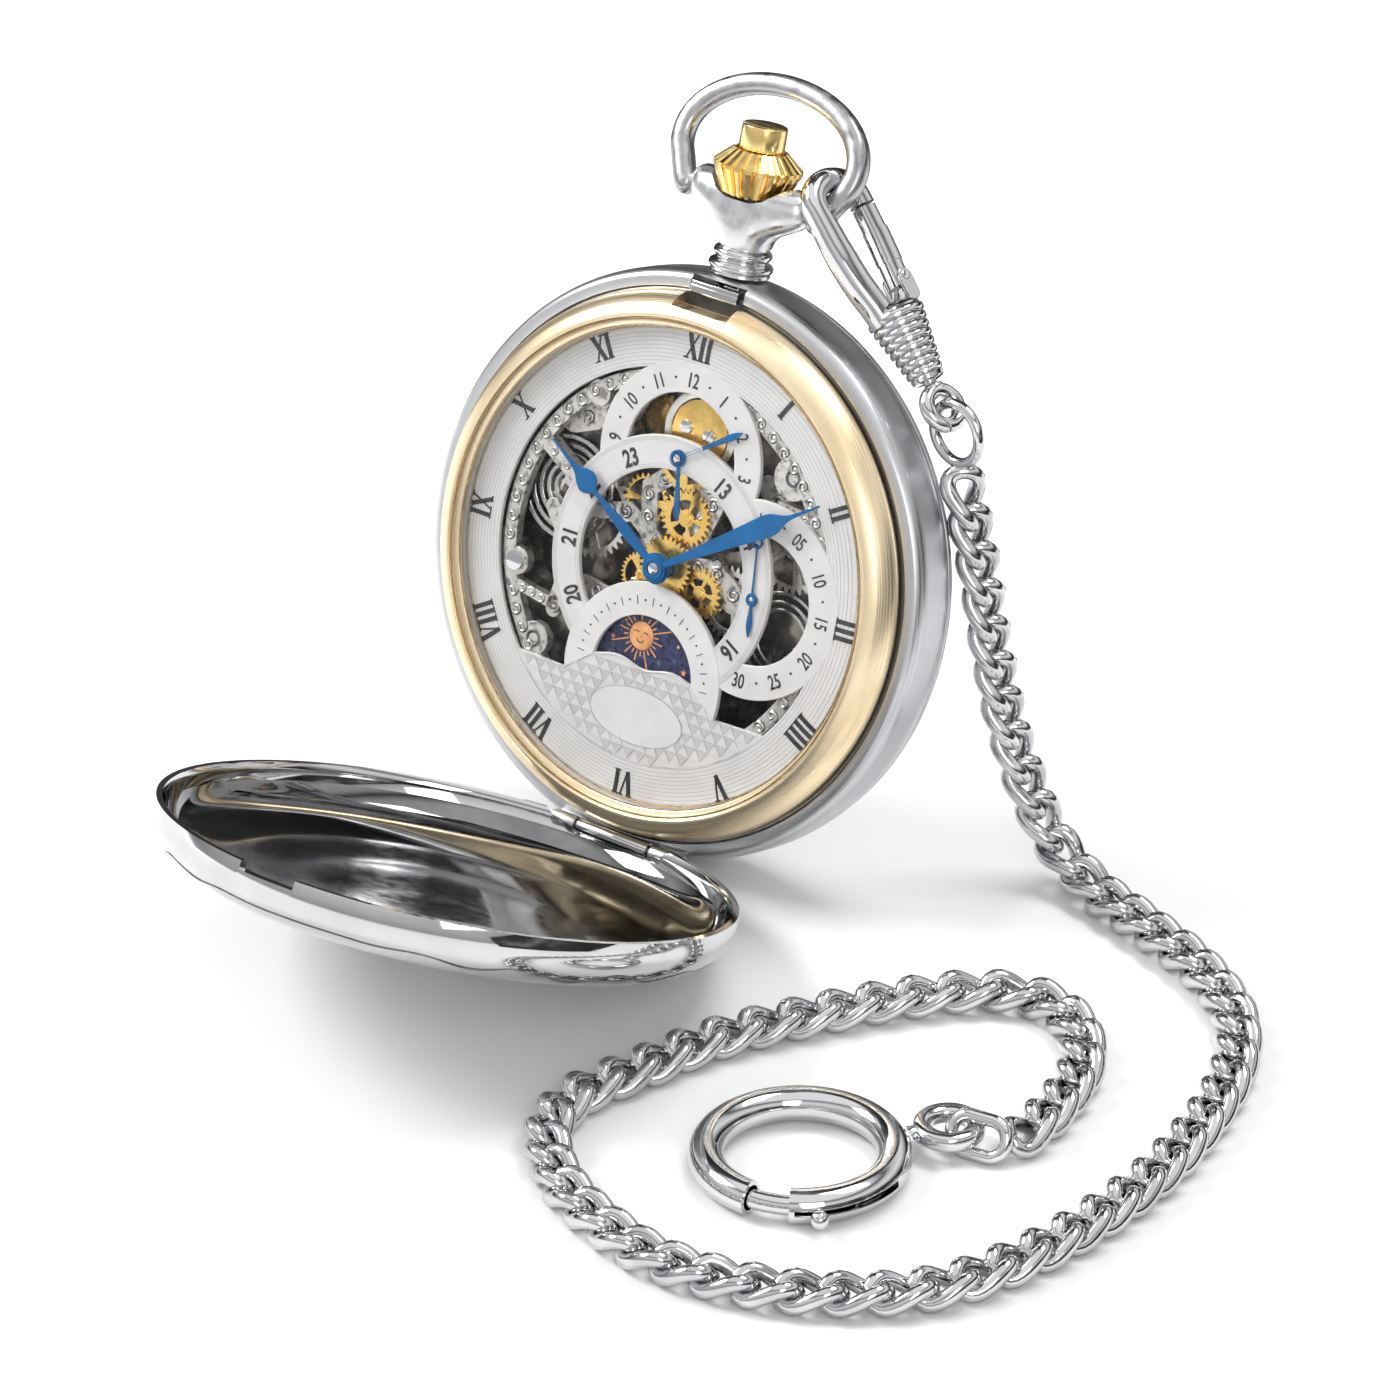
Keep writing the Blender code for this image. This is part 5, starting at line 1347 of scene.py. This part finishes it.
def make_wheels():
    def put(name, body, *meshes, material=BRASS, node=None):
        spot = in_case(body + "_turn")
        wheel = moved(merged(meshes), shift(spot.x, spot.y))
        place(name, wheel, material, body, replaces=[node or body], sharp=30)

    put(
        "centre_gear", "centre_wheel", spoked(64, 6.1, 0.4, -5.15, -4.95), arbor(0.4, -5.95, -1.6),
        pinion(10, 0.65, 0.95, -4.05, -3.5),
    )
    put(
        "third_gear", "third_wheel", spoked(60, 6.1, 0.36, -4.45, -4.25), arbor(0.3, -5.95, -3.3),
        pinion(8, 0.52, 0.8, -5.4, -4.75),
    )
    put(
        "fourth_gear", "fourth_wheel", spoked(56, 4.95, 0.32, -3.75, -3.55, 4), arbor(0.28, -5.95, -0.24),
        pinion(8, 0.5, 0.78, -4.7, -4.1),
    )
    put(
        "escape_gear", "escape_wheel", spoked(15, 2.7, 0.8, -5.0, -4.85, 4, 0.3, 0.6, 0.2),
        arbor(0.2, -5.95, -3.3), pinion(7, 0.4, 0.62, -3.95, -3.4), material=STEEL,
    )
    drum_profile = [
        (0, -4.65), (7.3, -4.65), (7.3, -3.45), (5.2, -3.45), (5.1, -3.52), (2.0, -3.52), (1.9, -3.4),
        (0, -3.4),
    ]
    put(
        "barrel_drum", "barrel", lathe(drum_profile, 96, 0.08), pinion(72, 7.65, 8.1, -3.9, -3.6),
        arbor(0.75, -7.15, -3.3), node="mainspring_barrel",
    )
    put("minute_gear", "minute_wheel", spoked(30, 2.1, 0.28, -1.7, -1.5, 3), arbor(0.3, -1.85, -1.4))
    hour_gear = slab([gear_loop(30, 2.35, 2.75), circle(1.0, 32)], -1.2, -1.0, 0.02)
    place("hour_gear", hour_gear, BRASS, "hour_hand", replaces=["hour_wheel"], sharp=30)
    zone = merged([spoked(36, 3.2, 0.32, -1.75, -1.55, 4), arbor(0.22, -1.85, -0.55)])
    zone = moved(zone, shift(*ZONE))
    place("zone_gear", zone, BRASS, "zone_minute_hand", replaces=["zone_wheel"], sharp=30)


def scroll_relief(x, y, size, turn, z, hand_of, radius, eye=True):
    """A small relief scroll, from its eye outward and on into a short tail."""
    count = 22
    points = []
    for i in range(count):
        t = i / (count - 1)
        angle = hand_of * TAU * 1.35 * t
        reach = size * (0.12 + 0.88 * t)
        points.append(Vector((reach * math.cos(angle), reach * math.sin(angle), 0)))
    end = points[-1]
    along = (points[-1] - points[-2]).normalized()
    points += [end + along * size * 0.55 * k / 3 for k in range(1, 4)]
    widths = [
        radius * (0.55 + 0.6 * min(i / 10, 1.0)) * (1.0 if i < 20 else 0.75) for i in range(len(points))
    ]
    meshes = [tube(points, widths, 7)]
    if eye:
        meshes.append(dot(0, 0, 0.17 * size, -0.05, 0.1))
    return moved(merged(meshes), shift(x, y, z) @ turn_z(turn))


def scroll_pair(x, y, size, turn, z, hand_of, radius):
    """A bright scroll and, a little wider and lower, a dark copy round it: painted shadow along the scroll's
    edges.
    """
    bright = scroll_relief(x, y, size, turn, z, hand_of, radius)
    cut_and_painted_shadow = scroll_relief(x, y, size, turn, z - radius * 1.25, hand_of, radius * 1.85, eye=False)
    return bright, cut_and_painted_shadow


RING_Z = -0.86
SKELETON_RING = (16.15, 17.5)


def make_engraved_ring():
    """The engraved ring under the chapter ring, with a running scroll all round it."""
    flat = hoop(*SKELETON_RING, -1.9, RING_Z, 160, 0.06)
    lugs = []
    for x, y, r in ((-15.55, -3.95, 1.25), (-12.4, -10.3, 1.55), (11.6, 11.4, 2.0), (-9.9, 13.2, 1.2)):
        lugs.append(slab([circle(r, 40, (x, y))], -1.9, RING_Z - 0.01, 0.04))
    arms = [
        (-14.6, 7.5, -9.4, 4.4, 1.5), (14.3, 8.0, 10.5, 8.2, 1.7), (-15.2, -6.0, -11.6, -6.6, 1.0),
        (-5.0, 15.5, -6.4, 12.0, 1.3), (14.8, -7.5, 12.0, -6.4, 1.2),
    ]
    bars = [bar(x0, y0, x1, y1, w, -1.9, RING_Z - 0.02) for x0, y0, x1, y1, w in arms]
    reliefs = []
    count = 62
    middle = sum(SKELETON_RING) / 2
    for i in range(count):
        a = TAU * i / count
        x, y = middle * math.cos(a), middle * math.sin(a)
        if math.hypot(x + 15.8, y + 3.95) < 1.3:
            continue
        reliefs.append(scroll_pair(x, y, 0.56, a + math.pi / 2, RING_Z + 0.02, 1 if i % 2 else -1, 0.11))
    for x0, y0, x1, y1, w in arms:
        for k in range(3):
            t = 0.2 + 0.3 * k
            x, y = x0 + (x1 - x0) * t, y0 + (y1 - y0) * t
            turn = math.atan2(y1 - y0, x1 - x0)
            reliefs.append(scroll_pair(x, y, 0.42, turn, RING_Z - 0.02, 1 if k % 2 else -1, 0.09))
    ground = merged([flat, *lugs, *bars])
    place("engraved_ring", ground, ENGRAVED_GROUND, replaces=["main_plate"], sharp=40)
    bright, stipple_and_painted_shadows = zip(*reliefs)
    place("ring_scrolls", merged(bright), ENGRAVED, sharp=40)
    # Painted shadow: dark copies of the scrolls, a little wider and lower, edging each bright scroll.
    place("ring_scroll_painted_shadows", merged(stipple_and_painted_shadows), DARK_STEEL_AND_PAINTED_SHADE, sharp=40)
    jewels = []
    setting = [(0.42, RING_Z - 0.1), (0.78, RING_Z - 0.1), (0.78, RING_Z + 0.05), (0.5, RING_Z + 0.03)]
    for x, y in ((-12.4, -10.3), (11.6, 11.4)):
        jewels.append(moved(lathe(setting, 32, 0.03, 1), shift(x, y)))
        jewels.append(dot(x, y, 0.42, RING_Z - 0.15, RING_Z - 0.02))
    place("jewel_settings", merged(jewels), DARK_STEEL_AND_PAINTED_SHADE)


def slotted_screw(x, y, radius, z, turn):
    head = hoop(0, radius, z - 0.3, z, 40, 0.06)
    slot = moved(block((-radius * 1.1, -0.09, z - 0.1), (radius * 1.1, 0.09, z + 0.2)), turn_z(turn))
    return moved(solid_boolean(head, [slot]), shift(x, y))


def make_screws():
    screw = slotted_screw(-15.75, -3.95, 0.92, RING_Z + 0.22, 0.12)
    place("case_screw_head", screw, POLISHED, replaces=["case_screw"])
    meshes = [
        slotted_screw(-0.6, 12.6, 0.62, -1.28, 0.5), slotted_screw(1.9, 12.35, 0.62, -1.28, 1.1),
        slotted_screw(4.9, 1.6, 0.5, -1.45, 0.3),
    ]
    place("bridge_screws", merged(meshes), POLISHED)


def bar_loop(spine, width):
    """A bar with round ends along a spine, counterclockwise."""
    loop = []
    for points in (spine, spine[::-1]):
        points = [Vector(p) for p in points]
        for before, here, after in zip(points, points[1:], points[2:]):
            along = ((after - here).normalized() + (here - before).normalized()).normalized()
            loop.append(tuple(here + width * Vector((along.y, -along.x))))
        along = points[-1] - points[-2]
        heading = math.atan2(along.y, along.x)
        loop += arc(width, heading - math.pi / 2, heading + math.pi / 2, 10, points[-1])
    return loop


def make_upper_bridges():
    """The engraved cocks and bright wheels seen through the dial's openings."""
    top = -1.95
    low = -2.4
    bars = [
        ([(0.2, 0.2), (2.2, 3.4), (3.4, 6.6), (1.6, 8.8)], 1.15, 0.0),
        ([(0.0, 0.0), (-3.0, 2.2), (-3.6, 6.2), (-1.0, 8.4)], 0.95, 0.02),
        ([(0.0, 0.0), (4.6, 0.8), (8.2, -1.6)], 1.0, 0.03),
        ([(-1.0, -0.8), (-5.2, -4.6), (-8.6, -4.2)], 0.8, 0.04),
        ([(-8.6, 2.6), (-5.4, 3.6), (-3.4, 2.4)], 0.75, 0.05),
        ([(8.4, 9.6), (12.2, 7.2), (14.6, 3.2)], 1.0, 0.03),
        ([(-13.4, 1.6), (-10.6, -2.2), (-11.6, -7.4)], 0.8, 0.03),
        ([(-12.8, 9.8), (-8.6, 11.4), (-6.2, 14.6)], 1.2, 0.03),
    ]
    plates = [slab([bar_loop(spine, width)], low, top - drop, 0.05) for spine, width, drop in bars]
    reliefs = []
    spots = [
        (1.5, 2.3), (2.6, 4.6), (3.3, 6.4), (2.4, 7.9), (-2.0, 1.5), (-3.2, 3.6), (-3.5, 5.6), (-2.2, 7.4),
        (2.8, 0.6), (5.0, 0.6), (7.0, -0.7), (-3.2, -2.8), (-5.2, -4.5), (-7.2, -4.4), (-5.6, 3.4),
        (-7.4, 3.0), (9.8, 8.6), (11.8, 7.2), (13.4, 4.8), (-12.0, -0.2), (-10.8, -2.6), (-11.1, -5.0),
        (-11.4, -7.0), (-11.2, 10.4), (-8.8, 11.5), (-7.2, 13.2),
    ]
    for i, (x, y) in enumerate(spots):
        reliefs.append(scroll_pair(x, y, 0.62, 1.7 * i, top + 0.02, 1 if i % 2 else -1, 0.12))
    place("engraved_cocks", merged(plates), ENGRAVED_GROUND, sharp=40)
    bright, stipple_and_painted_shadows = zip(*reliefs)
    place("cock_scrolls", merged(bright), ENGRAVED, sharp=40)
    # Painted shadow: dark copies of the scrolls, a little wider and lower, edging each bright scroll.
    place("cock_scroll_painted_shadows", merged(stipple_and_painted_shadows), DARK_STEEL_AND_PAINTED_SHADE, sharp=40)

    gilt = [
        moved(spoked(26, 2.65, 0.42, -1.85, -1.65, 5, 0.3, 0.62), shift(0.9, 4.6)),
        moved(spoked(24, 2.4, 0.38, -2.35, -2.15, 4), shift(-3.9, 4.9)),
        moved(spoked(22, 2.3, 0.4, -1.9, -1.7, 5, 0.3, 0.6), shift(3.6, -1.5)),
        moved(lathe([(0, -1.5), (2.9, -1.5), (2.95, -1.8), (0, -1.8)], 64, 0.06), shift(0.85, 12.45)),
    ]
    place("gilt_wheels", merged(gilt), BRASS, sharp=30)
    steel = [
        moved(spoked(30, 3.3, 0.5, -2.6, -2.4, 5, 0.3, 0.72), shift(6.6, -1.6)),
        moved(hoop(3.05, 3.75, -1.72, -1.5, 72, 0.05), shift(0.85, 12.45)),
        moved(spoked(36, 4.4, 0.5, -2.8, -2.6, 5, 0.25, 0.8), shift(-9.8, 2.2)),
        moved(spoked(34, 4.1, 0.5, -2.8, -2.6, 5, 0.25, 0.8), shift(11.8, 4.9)),
    ]
    coils = [
        annulus(r, r + 0.42, -2.5, -2.3 + 0.03 * i, (-12.3, 3.6), 64)
        for i, r in enumerate((1.2, 2.0, 2.8, 3.6, 4.4))
    ]
    coils += [annulus(r, r + 0.3, -2.5, -2.35, (12.2, -3.2), 64) for r in (2.4, 3.1, 3.9)]
    inside = hoop(0, SKELETON_RING[0], -4, 0, 96)
    coils = solid_boolean(merged(coils), [inside], "INTERSECT")
    place("barrel_coils", coils, STEEL, sharp=30)
    place("steel_wheels", merged(steel), ENGRAVED, sharp=30)


def make_depths():
    """The main plate behind everything, with its sinks, dark with painted shade for the movement's depths."""
    disc = hoop(0, 19.1, -3.1, -2.75, 120, 0.1)
    sinks = [
        (-11.4, -2.2, 2.9), (-4.2, 12.4, 2.6), (12.6, 6.3, 1.9), (5.2, 4.6, 1.9), (13.9, -5.2, 1.6),
        (-4.9, -6.2, 2.2), (3.9, 12.6, 2.2),
    ]
    cutters = [moved(hoop(0, r, -4, -2, 40), shift(x, y)) for x, y, r in sinks]
    disc = solid_boolean(disc, cutters)
    place("skeleton_plate_painted_shade", disc, DEPTH_PAINTED_SHADE)


# --- clasp -----------------------------------------------------------------------------------------
def clasp_matrix():
    """x towards the gate, square to the swivel's axis and to the gate's own hinge."""
    swivel = joint_axis("swivel_turn")
    return axes_at(joint_place("clasp_swing"), joint_axis("clasp_gate_spring").cross(swivel), swivel)


def make_clasp():
    matrix = clasp_matrix()
    points = [(-1.35, 0, -11.5), (-1.6, 0, -10.0), (-2.15, 0, -7.5), (-2.45, 0, -4.5), (-2.5, 0, -2.0)]
    points += [(-2.5 * x, 0, 2.2 * z) for x, z in arc(1.0, 0.0, math.pi, 10)]
    points += [(2.5, 0, -0.95)]
    route = spline(points, 90)
    radii = [1.32 - 0.22 * min(max((p.z + 5.0) / 6.0, 0.0), 1.0) if p.x < 0 else 1.08 for p in route]
    hook = tube(route, radii, 20, hint=(0, 1, 0), power=2.4)
    nose = lathe([(0, -1.02), (0.8, -1.02), (0.95, -0.9), (0.95, -0.6), (0, -0.6)], 24, 0.05, 1)
    nose = moved(nose, shift(2.5, 0, 0))
    profile = [(0, -10.2), (1.7, -10.2), (2.2, -10.45), (2.45, -10.75)]
    for i in range(8):
        level = -10.95 - i * 0.76
        radius = 2.66 - 0.135 * i
        profile += [
            (radius - 0.22, level + 0.02), (radius - 0.04, level - 0.14), (radius, level - 0.36),
            (radius - 0.05, level - 0.58), (radius - 0.25, level - 0.72),
        ]
    profile += [(1.55, -17.15), (1.45, -17.5), (1.2, -17.6), (0, -17.6)]
    barrel = revolve(profile, 72)
    rear = spline([(1.3, 0, -11.4), (1.6, 0, -10.3), (2.0, 0, -9.5)], 16)
    rear = tube(rear, 0.93, 20, hint=(0, 1, 0), power=2.6)
    cheeks = []
    for side in (-1, 1):
        low, high = sorted((side * 0.98, side * 1.38))
        cheeks.append(slab_on_y(bar_loop([(2.0, -9.9), (2.05, -8.3)], 0.7), low, high))
    place(
        "clasp_hook_body", merged([hook, nose, barrel, rear, *cheeks]), POLISHED, "clasp",
        replaces=["clasp_hook"], sharp=40, at=matrix,
    )

    gate = spline([(2.47, 0, -1.2), (2.35, 0, -4.8), (2.05, 0, -8.9)], 30)
    bar_mesh = tube(gate, 0.98, 20, hint=(0, 1, 0), power=3.2)
    across = Matrix.Rotation(math.pi / 2, 4, "X")
    rivet = moved(hoop(0, 0.42, -1.48, 1.48, 24, 0.1), shift(2.05, 0, -8.3) @ across)
    sleeve = spline([(2.42, 0, -3.4), (2.38, 0, -4.3), (2.22, 0, -6.6)], 14)
    sleeve = tube(sleeve, 1.06, 20, hint=(0, 1, 0), power=3.2)
    place(
        "clasp_gate_bar", merged([bar_mesh, rivet, sleeve]), POLISHED, "clasp_gate",
        replaces=["clasp_gate"], sharp=40, at=matrix,
    )

    eye_centre = -20.2
    eye = tube([(x, 0, eye_centre + z) for x, z in circle(1.65, 48)], 0.7, 18, cyclic=True, hint=(0, 1, 0))
    profile = [(0, -16.5), (0.6, -16.5), (0.62, -17.9), (0.95, -18.1), (1.0, -18.4), (0.7, -18.7), (0, -18.7)]
    post = lathe(profile, 32, 0.08)
    place(
        "swivel_loop", merged([eye, post]), POLISHED, "swivel", replaces=["swivel_eye"], sharp=40,
        at=matrix,
    )
    drop = eye_centre - 2.7 + 0.15
    ring = tube([(0, y, drop + z) for y, z in circle(2.7, 64)], 0.5, 16, cyclic=True, hint=(1, 0, 0))
    place("swivel_jump_ring", ring, POLISHED, "swivel", replaces=["jump_ring"], sharp=40, at=matrix)


def slab_on_y(loop, low, high):
    """A flat outline in x and z, thick along y."""
    mesh = slab([loop], low, high, 0.05)
    return moved(mesh, Matrix(((1, 0, 0, 0), (0, 0, 1, 0), (0, 1, 0, 0), (0, 0, 0, 1))))


# --- spring ring -----------------------------------------------------------------------------------
RING_R = 7.9


def ring_arc(start, end, count, radius=RING_R, height=0.0):
    return [(x, y, height) for x, y in arc(radius, start, end, count)]


def ring_point(angle, radius=RING_R, height=0.0):
    return Vector((radius * math.cos(angle), radius * math.sin(angle), height))


def make_spring_ring():
    at = Matrix.Translation(joint_place("ring_bolt_slide"))
    start, end = math.radians(-60), math.radians(-85) + TAU
    outer = tube(ring_arc(start, end, 150), 1.5, 28)
    bore = tube(ring_arc(start - 0.1, math.radians(8), 40), 1.12, 20)
    seat = tube(ring_arc(end + 0.1, end - math.radians(16), 14), 1.12, 20)
    slot = tube(ring_arc(math.radians(-57), math.radians(6), 30, 9.1, 0.1), 0.42, 12)
    ring = solid_boolean(outer, [bore, seat, slot])
    place("spring_ring_tube", ring, POLISHED, replaces=["spring_ring"], sharp=40, at=at)
    bolt = tube(ring_arc(math.radians(-94), math.radians(-20), 60), 0.86, 20)
    spot = math.radians(-45)
    post = tube([ring_point(spot), ring_point(spot, 10.0, 0.1)], [0.42, 0.32], 16)
    ball = revolve([(0, 0.78), *arc(0.78, math.pi / 2, -math.pi / 2, 16)[1:-1], (0, -0.78)], 32)
    ball = moved(ball, Matrix.Translation(ring_point(spot, 10.3, 0.1)))
    place(
        "spring_ring_bolt", merged([bolt, post, ball]), POLISHED, "ring_bolt", replaces=["ring_bolt"],
        sharp=40, at=at,
    )

    direction = math.radians(52.5)
    centre = ring_point(direction, 12.95, 0.35)
    loop = [centre + Vector((x, y, 0)) for x, y in circle(2.3, 56)]
    eyelet = tube(loop, 0.82, 16, cyclic=True, hint=(0, 0, 1), power=2.6)
    neck = [ring_point(direction, reach, z) for reach, z in ((9.7, 0.1), (10.1, 0.3), (10.9, 0.35))]
    widths = [0.95, 0.9, 0.8, 0.7, 0.66, 0.66, 0.7, 0.75, 0.8, 0.8]
    neck = tube(spline(neck, len(widths)), widths, 16)
    place("ring_eyelet_loop", merged([eyelet, neck]), POLISHED, replaces=["ring_eyelet"], sharp=40, at=at)

    along = Vector((1.0, 0.14, 0.0)).normalized()
    across = Vector((-along.y, along.x, 0))
    lift = math.radians(60)
    side = across * math.cos(lift) + Vector((0, 0, 1)) * math.sin(lift)
    middle = centre + along * 2.8
    points = []
    for sign in (1, -1):
        for x, y in arc(1.55, -math.pi / 2, math.pi / 2, 14):
            points.append(middle + sign * (along * (1.0 + x) + side * y))
    place(
        "end_link", tube(points, 0.6, 14, cyclic=True), POLISHED, replaces=["chain_end_link"], sharp=40,
        at=at,
    )


for make in (
    make_clasp, make_spring_ring, make_chain, make_case, make_bezel, make_crystal, make_catch,
    make_front_cover, make_pendant, make_bow, make_crown, make_dial_plates, make_arch, make_guilloche,
    make_numerals, make_sun_display, make_hands, make_wheels, make_engraved_ring, make_screws,
    make_upper_bridges, make_depths,
):
    make()

bpy.context.scene.view_settings.view_transform = "Standard"
